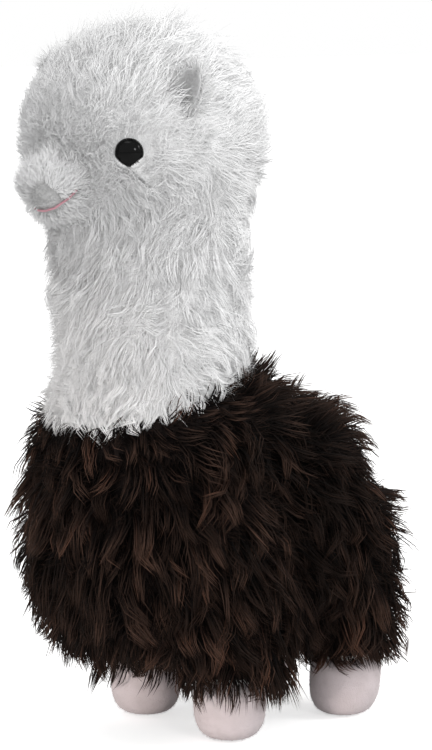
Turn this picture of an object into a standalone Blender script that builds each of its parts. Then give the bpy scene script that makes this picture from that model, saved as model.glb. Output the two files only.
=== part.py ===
"""A plush llama with a brown shaggy body, a white long-pile neck and head, and four pale feet.

The llama faces -Y and its left side is +X. It is sewn from pile covers over one fibre filling.
The stuffed form is modelled once, as overlapping round solids made into one net of even quads.
Seam planes cut that net into covers, and every outer quad is drawn out into a leaning tuft of
pile. The feet are lofted cups that meet the legs edge to edge, and the muzzle is a lofted cup
sewn over an opening in the face.
"""

import math

import bmesh
import bpy
import numpy as np
from mathutils import Matrix, Vector
from mathutils.bvhtree import BVHTree

# Fabric and fit, in metres
SKIN_WALL = 0.0020
SHORT_PILE_WALL = 0.0016
SEAM_GAP = 0.0003
FORM_PITCH = 0.0035
FORM_SMOOTHING = 10
TUFT_PITCH = 0.0134
FILLING_PITCH = 0.0190
NET_RELAXING = 8
SMOOTHING_SHARE = 0.5
SETTLING_ROUNDS = 6
SEAM_CATCH = TUFT_PITCH * 0.3
MITRE_LIMIT = 2.0
SOLID_SIDES = 32
SOLID_RINGS = 24

# Pile: how far a tuft stands off its cover, and how far its tip lies along it
BODY_PILE_RISE = 0.0135
BODY_PILE_LEAN = 0.0110
NECK_PILE_RISE = 0.0065
NECK_PILE_LEAN = 0.0090
HEAD_PILE_RISE = 0.0072
HEAD_PILE_LEAN = 0.0045
FACE_PILE_RISE = 0.0022
FACE_PILE_REACH = 0.0240
PILE_VARIATION = 0.30
TOPKNOT_RISE = 0.0025
PILE_SEED = 7

# Pile, as shares: where it changes, and how a tuft that would run into something gives way
BODY_PILE_SWEEP = 0.15
LOW_PILE_EXTRA_LEAN = 0.5
UNDERSIDE_FROM = 0.70
UNDERSIDE_FULL = 0.90
UNDERSIDE_PILE = 0.25
HEAD_PILE_FROM = 0.62
HEAD_PILE_FULL = 0.92
CROWN_FROM = 0.75
SHORTEST_TUFT = TUFT_PITCH * 0.1
TUFT_SHORTENING = 0.55
SHORTENING_ROUNDS = 5

# Chest, barrel and rump, set out behind the front feet
CHEST_BEHIND = -0.0215
CHEST_HALF_WIDTH = 0.0490
CHEST_HALF_LENGTH = 0.0470
CHEST_BOTTOM = 0.0420
CHEST_TOP = 0.1640
RUMP_BEHIND = 0.0435
RUMP_HALF_WIDTH = 0.0460
RUMP_HALF_LENGTH = 0.0405
RUMP_BOTTOM = 0.0380
RUMP_TOP = 0.1360
WAIST_HALF_WIDTH = 0.0420
WITHERS_TOP = 0.1480
BODY_SQUARENESS = 0.40

# Neck and head
NECK_BEHIND = -0.0160
NECK_RADIUS = 0.0395
NECK_ROOT_RADIUS = 0.0405
HEAD_BEHIND = -0.0250
HEAD_HEIGHT = 0.2700
HEAD_RADIUS = 0.0505
HEAD_HALF_HEIGHT = 0.0450
HEAD_TURN = math.radians(1)
NECK_SEAM_HEIGHT = 0.1600
NECK_SEAM_TILT = math.radians(17)

# Legs and feet
FEET_APART = 0.0600
FEET_STEP = 0.0715
LEG_RADIUS = 0.0220
LEG_END_RADIUS = 0.0175
FOOT_SEAM = 0.0300
FOOT_RADIUS = 0.0172
SOLE_RADIUS = 0.0085
FOOT_ROUNDING = 0.0110
FOOT_ROUNDING_STEPS = (0, 45, 90)
ANKLE_LEVEL = FOOT_SEAM * 0.62
ANKLE_FILLING = 0.75
REAR_SOLE_FORWARD = 0.0025
FUR_HEM = 0.0190
REAR_FUR_HEM = 0.0280
FOOT_SIDES = 12
FILLING_SIDES = 8

# Muzzle, measured along an axis that runs forwards and down from the middle of the head
MUZZLE_DROOP = math.radians(23)
MUZZLE_ROOT_RADIUS = 0.0195
MUZZLE_ROOT = 0.0360
MUZZLE_REACH = 0.0640
MUZZLE_OPENING = 0.0095
NOSE_HALF_WIDTH = 0.0114
NOSE_HALF_HEIGHT = 0.0108
NOSE_START = 0.65
MUZZLE_RINGS = (0.0, 0.25, 0.45, NOSE_START, 0.77, 0.87, 0.94, 0.985)
MUZZLE_SIDES = 14
PLUG_DEPTH = 0.0125
MOUTH_SWEEP = math.radians(82)
MOUTH_HALF_WIDTH = 0.0142
MOUTH_DROP = 0.0080
MOUTH_CORNER = 0.12
MOUTH_NEAR = 0.5
MOUTH_FAR = 2.0
MOUTH_STEPS = 12
THREAD_RADIUS = 0.0005
THREAD_LIFT = 0.0010

# Eyes and the washers that lock them from inside
EYE_RADIUS = 0.0062
EYE_DOME = 0.0040
EYE_ASIDE = 0.0322
EYE_FORWARD = 0.0338
EYE_BELOW = 0.0035
EYE_BORDER = 0.0050
SHANK_RADIUS = 0.0016
SHANK_LENGTH = 0.0085
WASHER_RADIUS = 0.0058
WASHER_THICKNESS = 0.0012
SEAT_DEPTH = 0.0004
EYE_SIDES = 12
EYE_RING_ANGLES = (22, 44, 66, 90)

# Ears
EAR_ASIDE = 0.0445
EAR_FORWARD = 0.0140
EAR_ABOVE = 0.0205
EAR_HEIGHT = 0.0130
EAR_HALF_WIDTH = 0.0082
EAR_THICKNESS = 0.0020
EAR_LINING_THICKNESS = 0.0010
EAR_CUP = 0.0045
EAR_SPLAY = math.radians(30)
EAR_TURN = math.radians(26)
EAR_ROOT = 0.0060
EAR_BORDER = 0.0012
EAR_LINING_LIFT = 0.0008
EAR_GRID = (4, 4)
EAR_POINT = 2.6
EAR_TIP_WIDTH = 0.14
EAR_TIP_CUP = 0.35

# Tail
TAIL_HEIGHT = 0.1080
TAIL_LENGTH = 0.0260
TAIL_HALF_WIDTH = 0.0075
TAIL_HALF_DEPTH = 0.0045
TAIL_STAND_OFF = 0.6
TAIL_RINGS = ((-0.22, 0.23), (0.05, 0.88), (0.30, 1.00), (0.55, 0.97), (0.80, 0.76), (0.95, 0.36))
TAIL_SIDES = 10

# Filling
SINKING_ROUNDS = 6
LEG_FILLING_TOP = 0.0800

GROUND_UP = Vector((0, 0, 1))
BACKWARDS = Vector((0, 1, 0))
BODY_MIDDLE = (CHEST_BEHIND + RUMP_BEHIND) / 2
NECK_SEAM_NORMAL = Vector((0, -math.sin(NECK_SEAM_TILT), math.cos(NECK_SEAM_TILT)))
NECK_SEAM_POINT = Vector((0, NECK_BEHIND, NECK_SEAM_HEIGHT))
FOOT_SEAM_POINT = Vector((0, 0, FOOT_SEAM))
CHEST_MIDDLE = (CHEST_BOTTOM + CHEST_TOP) / 2
HEAD_CENTRE = Vector((0, HEAD_BEHIND, HEAD_HEIGHT))
HEAD_AXES = Matrix.Translation(HEAD_CENTRE) @ Matrix.Rotation(HEAD_TURN, 4, "Z")
MUZZLE_AXES = HEAD_AXES @ Matrix.Rotation(MUZZLE_DROOP, 4, "X")
MUZZLE_FORWARD = (MUZZLE_AXES.to_3x3() @ Vector((0, -1, 0))).normalized()
MUZZLE_MIDDLE = HEAD_CENTRE + MUZZLE_FORWARD * HEAD_RADIUS
NOSE_TIP = HEAD_CENTRE + MUZZLE_FORWARD * MUZZLE_REACH
SEAMS = ((NECK_SEAM_POINT, NECK_SEAM_NORMAL), (FOOT_SEAM_POINT, GROUND_UP))
ON_SEAM = 1e-5
TINY = 1e-6
FOOT_PLACES = {
    "front_left": (FEET_APART / 2, 0.0),
    "front_right": (-FEET_APART / 2, 0.0),
    "rear_left": (FEET_APART / 2, FEET_STEP),
    "rear_right": (-FEET_APART / 2, FEET_STEP),
}


def clear_scene():
    for thing in list(bpy.data.objects):
        bpy.data.objects.remove(thing)


def material(name, colour, roughness):
    made = bpy.data.materials.new(name)
    made.use_nodes = True
    shader = made.node_tree.nodes["Principled BSDF"]
    shader.inputs["Base Color"].default_value = (*colour, 1)
    shader.inputs["Roughness"].default_value = roughness
    shader.inputs["Metallic"].default_value = 0
    return made


def add_object(name, bm, look=None):
    """A scene object from a bmesh, which is freed."""
    mesh = bpy.data.meshes.new(name)
    bm.to_mesh(mesh)
    bm.free()
    made = bpy.data.objects.new(name, mesh)
    bpy.context.collection.objects.link(made)
    if look:
        mesh.materials.append(look)
    return made


def shade_round(thing, crease=math.radians(40)):
    thing.data.shade_smooth()
    thing.data.set_sharp_from_angle(angle=crease)


def add_cutter(name, bm):
    made = add_object(name, bm)
    made.hide_render = True
    made.display_type = "WIRE"
    return made


def add_boolean(thing, cutter, operation="DIFFERENCE"):
    cut = thing.modifiers.new(f"{operation.title()} {cutter.name}", "BOOLEAN")
    cut.operation = operation
    cut.object = cutter
    cut.solver = "EXACT"


# Round solids that make up the form


def signed_power(value, power):
    return math.copysign(abs(value) ** power, value)


def add_rounded_block(bm, centre, half_sizes, squareness):
    """A sphere stretched to its half sizes, and squarer towards its top and bottom rims."""
    made = bmesh.ops.create_uvsphere(
        bm, u_segments=SOLID_SIDES, v_segments=SOLID_RINGS, radius=1
    )
    for vert in made["verts"]:
        flat = math.hypot(vert.co.x, vert.co.y)
        spread = flat**squareness / flat if flat > TINY else 0
        vert.co.x *= spread * half_sizes[0]
        vert.co.y *= spread * half_sizes[1]
        vert.co.z = signed_power(vert.co.z, squareness) * half_sizes[2]
        vert.co += Vector(centre)


def add_column(bm, foot, top, foot_radius, top_radius):
    """A closed tapered column between two points, one over the other or leaning a little."""
    foot, top = Vector(foot), Vector(top)
    length = (top - foot).length
    upright = (top - foot).to_track_quat("Z", "Y").to_matrix().to_4x4()
    bmesh.ops.create_cone(
        bm,
        cap_ends=True,
        segments=SOLID_SIDES,
        radius1=foot_radius,
        radius2=top_radius,
        depth=length,
        matrix=Matrix.Translation((foot + top) / 2) @ upright,
    )


def add_body_neck_and_head(bm):
    for behind, half_width, half_length, bottom, top in (
        (CHEST_BEHIND, CHEST_HALF_WIDTH, CHEST_HALF_LENGTH, CHEST_BOTTOM, CHEST_TOP),
        (RUMP_BEHIND, RUMP_HALF_WIDTH, RUMP_HALF_LENGTH, RUMP_BOTTOM, RUMP_TOP),
        (
            BODY_MIDDLE,
            WAIST_HALF_WIDTH,
            (RUMP_BEHIND - CHEST_BEHIND) / 2,
            (CHEST_BOTTOM + RUMP_BOTTOM) / 2,
            WITHERS_TOP,
        ),
    ):
        centre = (0, behind, (bottom + top) / 2)
        half_sizes = (half_width, half_length, (top - bottom) / 2)
        add_rounded_block(bm, centre, half_sizes, BODY_SQUARENESS)
    neck_root = (0, NECK_BEHIND, CHEST_MIDDLE)
    add_column(bm, neck_root, HEAD_CENTRE, NECK_ROOT_RADIUS, NECK_RADIUS)
    add_rounded_block(bm, HEAD_CENTRE, (HEAD_RADIUS, HEAD_RADIUS, HEAD_HALF_HEIGHT), 1.0)


def add_legs(bm):
    for aside, behind in FOOT_PLACES.values():
        hip = (aside, behind, CHEST_MIDDLE)
        end = (aside, behind, FOOT_SEAM - LEG_END_RADIUS)
        add_column(bm, end, hip, LEG_END_RADIUS, LEG_RADIUS)


def voxel_net(pitch, with_legs=True):
    """The overlapping solids as one closed surface of quads about one pitch wide."""
    bm = bmesh.new()
    add_body_neck_and_head(bm)
    if with_legs:
        add_legs(bm)
    source = add_object("form_source", bm)
    remesh = source.modifiers.new("Even quads", "REMESH")
    remesh.mode = "VOXEL"
    remesh.voxel_size = pitch
    depsgraph = bpy.context.evaluated_depsgraph_get()
    mesh = bpy.data.meshes.new_from_object(source.evaluated_get(depsgraph))
    bpy.data.objects.remove(source)
    net = bmesh.new()
    net.from_mesh(mesh)
    bpy.data.meshes.remove(mesh)
    return net


def smooth_once(bm):
    bmesh.ops.smooth_vert(
        bm,
        verts=bm.verts,
        factor=SMOOTHING_SHARE,
        use_axis_x=True,
        use_axis_y=True,
        use_axis_z=True,
    )


def smooth_form():
    """The form at a fine pitch, its joins blended, as a tree that answers nearest-point questions."""
    bm = voxel_net(FORM_PITCH)
    for _ in range(FORM_SMOOTHING):
        smooth_once(bm)
    bm.normal_update()
    tree = BVHTree.FromBMesh(bm)
    bm.free()
    return tree


def tuft_net(form):
    """Even quads one tuft pitch wide, lying on the form, with a row of corners along each seam."""
    bm = voxel_net(TUFT_PITCH)
    for _ in range(NET_RELAXING):
        smooth_once(bm)
        for vert in bm.verts:
            vert.co = form.find_nearest(vert.co)[0]
    for point, normal in SEAMS:
        settle_on_seam(bm, form, point, normal)
    bm.normal_update()
    outward = bm.verts.layers.float_vector.new("outward")
    for vert in bm.verts:
        vert[outward] = vert.normal
    return bm


def settle_on_seam(bm, form, point, normal):
    """Slides the nearest corners along the form onto a seam, and halves the quads it crosses."""
    for vert in bm.verts:
        if abs((vert.co - point).dot(normal)) > SEAM_CATCH:
            continue
        for _ in range(SETTLING_ROUNDS):
            vert.co = form.find_nearest(vert.co)[0]
            vert.co -= normal * (vert.co - point).dot(normal)
    crossed = []
    for face in bm.faces:
        heights = [(vert.co - point).dot(normal) for vert in face.verts]
        if min(heights) < -ON_SEAM and max(heights) > ON_SEAM:
            crossed.append(face)
    bmesh.ops.triangulate(bm, faces=crossed)


# Cutting the net into covers


def cut_at(bm, point, normal, gap):
    """Keeps what lies behind a seam plane, short of it by half the gap."""
    edge = point - normal * gap / 2
    for vert in bm.verts:
        if abs((vert.co - point).dot(normal)) < ON_SEAM:
            vert.co -= normal * gap / 2
    bmesh.ops.bisect_plane(
        bm,
        geom=bm.verts[:] + bm.edges[:] + bm.faces[:],
        plane_co=edge,
        plane_no=normal,
        dist=ON_SEAM,
        clear_outer=True,
    )


def moved_in(vert, outward, distance):
    return vert.co - vert[outward] * distance


def moved_in_along_seam(vert, outward, distance):
    """Where the inner layer meets the seam plane that a rim corner lies on."""
    across = min(SEAMS, key=lambda seam: abs((vert.co - seam[0]).dot(seam[1])))[1]
    level = vert[outward] - across * vert[outward].dot(across)
    mitre = min((vert[outward].length / level.length) ** 2, MITRE_LIMIT)
    return vert.co - level * distance * mitre


def halves(corners):
    """A quad as two triangles on the same diagonal in every copy of the net."""
    if len(corners) == 4:
        return (corners[0], corners[1], corners[2]), (corners[0], corners[2], corners[3])
    return (corners,)


def line_cover(bm, wall):
    """Gives an open sheet its wall: an inner layer, joined to the outer one around each rim."""
    outward = bm.verts.layers.float_vector["outward"]
    sheet = list(bm.faces)
    inner = {}
    for vert in list(bm.verts):
        move = moved_in_along_seam if vert.is_boundary else moved_in
        inner[vert] = move(vert, outward, wall)
    inner = {vert: bm.verts.new(place) for vert, place in inner.items()}
    rims = [edge.link_loops[0] for edge in bm.edges if edge.is_boundary]
    rims = [(loop.vert, loop.link_loop_next.vert) for loop in rims]
    for face in sheet:
        for corners in halves(list(face.verts)):
            bm.faces.new([inner[vert] for vert in reversed(corners)])
    for start, end in rims:
        bm.faces.new((end, start, inner[start], inner[end]))
    return sheet


def leg_radius_at_seam(form, middle):
    """The least radius of one leg of the form, where its foot is sewn on."""
    radii = []
    for side in range(FOOT_SIDES):
        turn = 2 * math.pi * side / FOOT_SIDES
        out = Vector((math.cos(turn), math.sin(turn), 0))
        edge = form.ray_cast(middle, out, LEG_RADIUS * 2)[0]
        if edge:
            radii.append((edge - middle).length)
    return min(radii)


# Pile


def tangent(direction, normal):
    flat = direction - normal * direction.dot(normal)
    return flat.normalized() if flat.length > TINY else flat


def share_between(value, none, full):
    """How far a value has come from none to full, between 0 and 1."""
    return min(max((value - none) / (full - none), 0.0), 1.0)


def body_pile(place, normal):
    """Brown pile hangs down and a little back, lies back along the top and is short below."""
    down = tangent(-GROUND_UP, normal)
    back = tangent(BACKWARDS, normal)
    upward = max(normal.z, 0.0)
    lean = tangent(down * (1 - upward) + back * (BODY_PILE_SWEEP + upward), normal)
    below = share_between(-normal.z, UNDERSIDE_FROM, UNDERSIDE_FULL)
    length = 1 - (1 - UNDERSIDE_PILE) * below
    low = share_between(place.z, CHEST_TOP, FOOT_SEAM)
    hang = BODY_PILE_LEAN * (1 + LOW_PILE_EXTRA_LEAN * low)
    return (normal * BODY_PILE_RISE + lean * hang) * length


def head_pile(place, normal):
    """White pile hangs down the neck, and on the head it runs back from the muzzle."""
    up = share_between(place.z, NECK_SEAM_HEIGHT, HEAD_HEIGHT)
    on_head = share_between(up, HEAD_PILE_FROM, HEAD_PILE_FULL)
    from_nose = tangent(place - NOSE_TIP, normal)
    down = tangent(-GROUND_UP, normal)
    lean = tangent(from_nose * on_head + down * (1 - on_head), normal)
    rise = NECK_PILE_RISE + (HEAD_PILE_RISE - NECK_PILE_RISE) * on_head
    run = NECK_PILE_LEAN + (HEAD_PILE_LEAN - NECK_PILE_LEAN) * on_head
    from_muzzle = (place - MUZZLE_MIDDLE).length - MUZZLE_ROOT_RADIUS
    bare = share_between(from_muzzle, FACE_PILE_REACH, 0.0)
    rise += (FACE_PILE_RISE - rise) * bare
    run *= 1 - bare
    crown = share_between(normal.z, CROWN_FROM, 1.0)
    rise += TOPKNOT_RISE * crown**2
    return normal * rise + lean * run


def tuft_triangles(bases, tips):
    """Every tuft's sides, as one list of points and one of triangles, and whose each one is."""
    points, triangles, owners = [], [], []
    for index, (corners, tip) in enumerate(zip(bases, tips)):
        first = len(points)
        count = len(corners)
        points += [*corners, tip]
        for side in range(count):
            triangles.append((first + side, first + (side + 1) % count, first + count))
            owners.append(index)
    return points, triangles, owners


def crossing_tufts(bases, tips, obstacles):
    """Tufts that run into an obstacle, or into a tuft they share no corner with."""
    points, triangles, owners = tuft_triangles(bases, tips)
    tree = BVHTree.FromPolygons(points, triangles)
    crossing = set()
    for obstacle in obstacles:
        crossing.update(owners[side] for side, _ in tree.overlap(obstacle))
    keys = [{tuple(round(value, 6) for value in corner) for corner in base} for base in bases]
    for side, other in tree.overlap(tree):
        one, two = owners[side], owners[other]
        if one < two and not keys[one] & keys[two]:
            longer = max(one, two, key=lambda tuft: (tips[tuft] - bases[tuft][0]).length)
            crossing.add(longer)
    return crossing


def draw_tufts(bm, sheet, pile, keep_clear, obstacles, seed_offset):
    """Draws both halves of each face out into tufts, shortened where they would run into anything."""
    chance = np.random.default_rng(PILE_SEED + seed_offset)
    bases, reaches, plain = [], [], []
    for face in sheet:
        normal = face.normal.copy()
        for corners in halves(list(face.verts)):
            middle = sum((vert.co for vert in corners), Vector()) / len(corners)
            vary = 1 + PILE_VARIATION * chance.uniform(-1, 1)
            sway = Vector(chance.uniform(-1, 1, 3)) * PILE_VARIATION
            reach = pile(middle, normal) * vary
            reach += tangent(sway, normal) * reach.length * PILE_VARIATION
            hem = REAR_FUR_HEM if middle.y > BODY_MIDDLE else FUR_HEM
            if reach.z < 0:
                reach *= min(max(middle.z - hem, 0.0) / -reach.z, 1.0)
            if keep_clear(middle) or reach.length < SHORTEST_TUFT:
                plain.append(corners)
            else:
                bases.append(corners)
                reaches.append(reach)
    bmesh.ops.delete(bm, geom=sheet, context="FACES_ONLY")
    places = [[vert.co.copy() for vert in corners] for corners in bases]
    middles = [sum(corners, Vector()) / len(corners) for corners in places]
    for _ in range(SHORTENING_ROUNDS):
        tips = [middle + reach for middle, reach in zip(middles, reaches)]
        for index in crossing_tufts(places, tips, obstacles):
            reaches[index] = reaches[index] * TUFT_SHORTENING
    tips = [middle + reach for middle, reach in zip(middles, reaches)]
    dropped = crossing_tufts(places, tips, obstacles)
    for index, (corners, tip) in enumerate(zip(bases, tips)):
        if index in dropped:
            plain.append(corners)
            continue
        point = bm.verts.new(tip)
        for side, corner in enumerate(corners):
            bm.faces.new((corner, corners[(side + 1) % len(corners)], point))
    for corners in plain:
        bm.faces.new(corners)


# Lofted cups


def add_loft(bm, rings, close_start, close_end):
    """A skin through rings of as many points each, with the wanted ends filled."""
    loops = [[bm.verts.new(point) for point in ring] for ring in rings]
    for lower, upper in zip(loops, loops[1:]):
        for side in range(len(lower)):
            after = (side + 1) % len(lower)
            bm.faces.new((lower[side], lower[after], upper[after], upper[side]))
    if close_start:
        bm.faces.new(reversed(loops[0]))
    if close_end:
        bm.faces.new(loops[-1])
    return loops


def ellipse(axes, out, half_width, half_height, sides):
    """A ring across an axis that runs to -Y in its own axes, at a distance out along it."""
    turns = [2 * math.pi * side / sides for side in range(sides)]
    return [
        axes @ Vector((half_width * math.sin(turn), -out, half_height * math.cos(turn)))
        for turn in turns
    ]


def circle(middle, radius, sides):
    turns = [2 * math.pi * side / sides for side in range(sides)]
    return [
        middle + Vector((radius * math.cos(turn), radius * math.sin(turn), 0)) for turn in turns
    ]


def lathed(profile, axes, sides):
    """A closed turned solid from (radius, height) pairs that start and end on the axis."""
    bm = bmesh.new()
    rings = [
        [axes @ Vector((radius * math.cos(turn), radius * math.sin(turn), height))
         for turn in (2 * math.pi * side / sides for side in range(sides))]
        for radius, height in profile
        if radius > 0
    ]
    loops = add_loft(bm, rings, False, False)
    start = bm.verts.new(axes @ Vector((0, 0, profile[0][1])))
    end = bm.verts.new(axes @ Vector((0, 0, profile[-1][1])))
    for side in range(sides):
        after = (side + 1) % sides
        bm.faces.new((start, loops[0][after], loops[0][side]))
        bm.faces.new((end, loops[-1][side], loops[-1][after]))
    bmesh.ops.recalc_face_normals(bm, faces=bm.faces)
    return bm


# Feet


def foot_profile(rim_radius, inset, top):
    """(radius, height) from the sole up to the top, drawn in by an inset."""
    rounding = [
        (
            SOLE_RADIUS + (FOOT_RADIUS - SOLE_RADIUS) * math.sin(angle) - inset * math.sin(angle),
            FOOT_ROUNDING * (1 - math.cos(angle)) + inset * math.cos(angle),
        )
        for angle in map(math.radians, FOOT_ROUNDING_STEPS)
    ]
    return [*rounding, (FOOT_RADIUS - inset, ANKLE_LEVEL), (rim_radius - inset, top)]


def foot_rings(middle, rim_radius, inset, top, sole_forward, sides=FOOT_SIDES):
    """Rings of a foot cup: upright at the seam, its sole moved forwards."""
    rings = []
    for radius, height in foot_profile(rim_radius, inset, top):
        forward = sole_forward * (1 - height / FOOT_SEAM)
        rings.append(circle(Vector((middle.x, middle.y - forward, height)), radius, sides))
    return rings


def add_foot(name, middle, rim_radius, sole_forward, look):
    """A short-pile cup with a flat sole, open at the seam where the leg's filling comes in."""
    bm = bmesh.new()
    top = FOOT_SEAM - SEAM_GAP / 2
    outside = foot_rings(middle, rim_radius, 0.0, top, sole_forward)
    inside = foot_rings(middle, rim_radius, SHORT_PILE_WALL, top, sole_forward)
    add_loft(bm, [*outside, *reversed(inside)], True, True)
    bmesh.ops.recalc_face_normals(bm, faces=bm.faces)
    foot = add_object(name, bm, look)
    shade_round(foot)
    return foot


# Muzzle and mouth


def muzzle_rings(inset):
    """Rings from inside the head to the nose: an ease down to the nose's width, then a round end."""
    rings = []
    for share in MUZZLE_RINGS:
        ease = min(share / NOSE_START, 1.0)
        ease = ease * ease * (3 - 2 * ease)
        past = max(share - NOSE_START, 0.0) / (1 - NOSE_START)
        end = math.sqrt(1 - past * past)
        half_width = (MUZZLE_ROOT_RADIUS + (NOSE_HALF_WIDTH - MUZZLE_ROOT_RADIUS) * ease) * end
        half_height = (MUZZLE_ROOT_RADIUS + (NOSE_HALF_HEIGHT - MUZZLE_ROOT_RADIUS) * ease) * end
        if half_height - inset < inset:
            break
        out = MUZZLE_ROOT + (MUZZLE_REACH - MUZZLE_ROOT - inset) * share
        sizes = (half_width - inset, half_height - inset)
        rings.append(ellipse(MUZZLE_AXES, out, *sizes, MUZZLE_SIDES))
    return rings


def add_muzzle(head_form, look):
    """A short-pile cup that is sewn on over an opening in the face, its rim trimmed to the face."""
    bm = bmesh.new()
    outside = muzzle_rings(0.0)
    inside = muzzle_rings(SHORT_PILE_WALL)
    add_loft(bm, [*reversed(outside), *inside], True, True)
    bmesh.ops.recalc_face_normals(bm, faces=bm.faces)
    muzzle = add_object("muzzle", bm, look)
    add_boolean(muzzle, head_form)
    shade_round(muzzle)
    return muzzle


def add_muzzle_opening(name, radius):
    """A round bar along the muzzle's axis, from inside the head to just past the face."""
    ends = (MUZZLE_ROOT - PLUG_DEPTH, HEAD_RADIUS + SKIN_WALL)
    bm = bmesh.new()
    rings = [ellipse(MUZZLE_AXES, out, radius, radius, MUZZLE_SIDES) for out in ends]
    add_loft(bm, rings, True, True)
    bmesh.ops.recalc_face_normals(bm, faces=bm.faces)
    return add_cutter(name, bm)


def tree_of(thing):
    depsgraph = bpy.context.evaluated_depsgraph_get()
    return BVHTree.FromObject(thing, depsgraph)


def add_mouth(muzzle, look):
    """One smiling line of pink thread that lies on the muzzle below the nose."""
    surface = tree_of(muzzle)
    nose_length = (MUZZLE_REACH - MUZZLE_ROOT) * (1 - NOSE_START)
    nose_out = MUZZLE_REACH - nose_length
    curve = bpy.data.curves.new("mouth_stitching", "CURVE")
    curve.dimensions = "3D"
    curve.bevel_depth = THREAD_RADIUS
    curve.bevel_resolution = 1
    curve.use_fill_caps = True
    line = curve.splines.new("POLY")
    line.points.add(MOUTH_STEPS)
    for step in range(MOUTH_STEPS + 1):
        swing = MOUTH_SWEEP * (2 * step / MOUTH_STEPS - 1)
        aside = MOUTH_HALF_WIDTH * math.sin(swing)
        out = nose_out + nose_length * (MOUTH_FAR * math.cos(swing) - MOUTH_NEAR)
        height = -MOUTH_DROP * (math.cos(swing) - MOUTH_CORNER)
        place, normal, _, _ = surface.find_nearest(MUZZLE_AXES @ Vector((aside, -out, height)))
        line.points[step].co = (*(place + normal * THREAD_LIFT), 1)
    mouth = bpy.data.objects.new("mouth_stitching", curve)
    bpy.context.collection.objects.link(mouth)
    curve.materials.append(look)
    return mouth


# Eyes


def eye_axes(form, side):
    """Axes of one eye: their origin on the cover, their Z straight out of the head."""
    aim = HEAD_AXES.to_3x3() @ Vector((side * EYE_ASIDE, -EYE_FORWARD, -EYE_BELOW))
    aim.normalize()
    place = form.ray_cast(HEAD_CENTRE + aim * HEAD_RADIUS * 2, -aim)[0]
    place -= aim * SEAT_DEPTH
    return Matrix.Translation(place) @ aim.to_track_quat("Z", "Y").to_matrix().to_4x4()


def add_eye(name, axes, look):
    """A glossy dome with a flat back and the shank that goes through the cover."""
    profile = [(0, EYE_DOME)]
    for angle in map(math.radians, EYE_RING_ANGLES):
        profile.append((EYE_RADIUS * math.sin(angle), EYE_DOME * math.cos(angle)))
    profile += [(SHANK_RADIUS, 0), (SHANK_RADIUS, -SHANK_LENGTH), (0, -SHANK_LENGTH)]
    eye = add_object(name, lathed(profile, axes, EYE_SIDES), look)
    shade_round(eye)
    return eye


def washer_levels():
    """Heights of a washer's outer and inner faces along its eye's axis."""
    outer = -(SKIN_WALL - SEAT_DEPTH)
    return outer, outer - WASHER_THICKNESS


def add_washer(name, axes, look):
    """A ring that grips the shank just inside the cover."""
    bm = bmesh.new()
    hole = SHANK_RADIUS + SEAM_GAP
    outer, inner = washer_levels()
    rings = [
        [axes @ point for point in circle(Vector((0, 0, level)), radius, EYE_SIDES)]
        for radius, level in (
            (hole, inner), (WASHER_RADIUS, inner), (WASHER_RADIUS, outer), (hole, outer)
        )
    ]
    loops = add_loft(bm, rings, False, False)
    for side in range(EYE_SIDES):
        after = (side + 1) % EYE_SIDES
        bm.faces.new((loops[3][side], loops[3][after], loops[0][after], loops[0][side]))
    bmesh.ops.recalc_face_normals(bm, faces=bm.faces)
    washer = add_object(name, bm, look)
    shade_round(washer)
    return washer


def add_eye_socket(name, axes):
    """Cuts the eye's seat, the shank's hole and the washer's room out of cover and filling."""
    outer, inner = washer_levels()
    hole = SHANK_RADIUS + SEAM_GAP
    room = WASHER_RADIUS + SEAM_GAP
    seat = EYE_RADIUS + SEAM_GAP
    profile = [
        (0, EYE_DOME),
        (seat, EYE_DOME),
        (seat, -SEAM_GAP),
        (hole, -SEAM_GAP),
        (hole, outer + SEAM_GAP),
        (room, outer + SEAM_GAP),
        (room, inner - SEAM_GAP),
        (hole, inner - SEAM_GAP),
        (hole, -SHANK_LENGTH - SEAM_GAP),
        (0, -SHANK_LENGTH - SEAM_GAP),
    ]
    return add_cutter(name, lathed(profile, axes, EYE_SIDES))


# Ears and tail


def ear_axes(side):
    """Axes of one ear: their origin at its root, Z to its tip and -Y out of its cup."""
    root = HEAD_AXES @ Vector((side * EAR_ASIDE, -EAR_FORWARD, EAR_ABOVE))
    facing = HEAD_AXES.to_3x3().to_4x4() @ Matrix.Rotation(side * EAR_TURN, 4, "Z")
    return Matrix.Translation(root) @ facing @ Matrix.Rotation(side * EAR_SPLAY, 4, "Y")


def ear_sheet(half_width, top, behind):
    """Points of a cupped leaf, row by row from its root to its rounded tip."""
    rows = []
    across_steps, along_steps = EAR_GRID
    for step in range(along_steps + 1):
        height = -EAR_ROOT + (top + EAR_ROOT) * step / along_steps
        rise = (height + EAR_ROOT) / (EAR_HEIGHT + EAR_ROOT)
        width = half_width * math.sqrt(max(1 - rise**EAR_POINT, EAR_TIP_WIDTH**2))
        row = []
        for cell in range(across_steps + 1):
            across = 2 * cell / across_steps - 1
            cup = EAR_CUP * (1 - across**2) * (1 - (1 - EAR_TIP_CUP) * rise)
            row.append(Vector((across * width, behind + cup, height)))
        rows.append(row)
    return rows


def add_leaf(name, axes, front, back, look):
    """A closed leaf between a front and a back sheet of as many points."""
    bm = bmesh.new()
    borders = []
    for points in (front, back):
        sheet = [[bm.verts.new(axes @ point) for point in row] for row in points]
        for lower, upper in zip(sheet, sheet[1:]):
            for cell in range(len(lower) - 1):
                bm.faces.new((lower[cell], lower[cell + 1], upper[cell + 1], upper[cell]))
        border = [*sheet[0]]
        border += [row[-1] for row in sheet[1:]]
        border += reversed(sheet[-1][:-1])
        border += [row[0] for row in reversed(sheet[1:-1])]
        borders.append(border)
    for side in range(len(borders[0])):
        near, far = (border[side - 1] for border in borders)
        bm.faces.new((near, borders[0][side], borders[1][side], far))
    bmesh.ops.recalc_face_normals(bm, faces=bm.faces)
    leaf = add_object(name, bm, look)
    shade_round(leaf)
    return leaf


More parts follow.
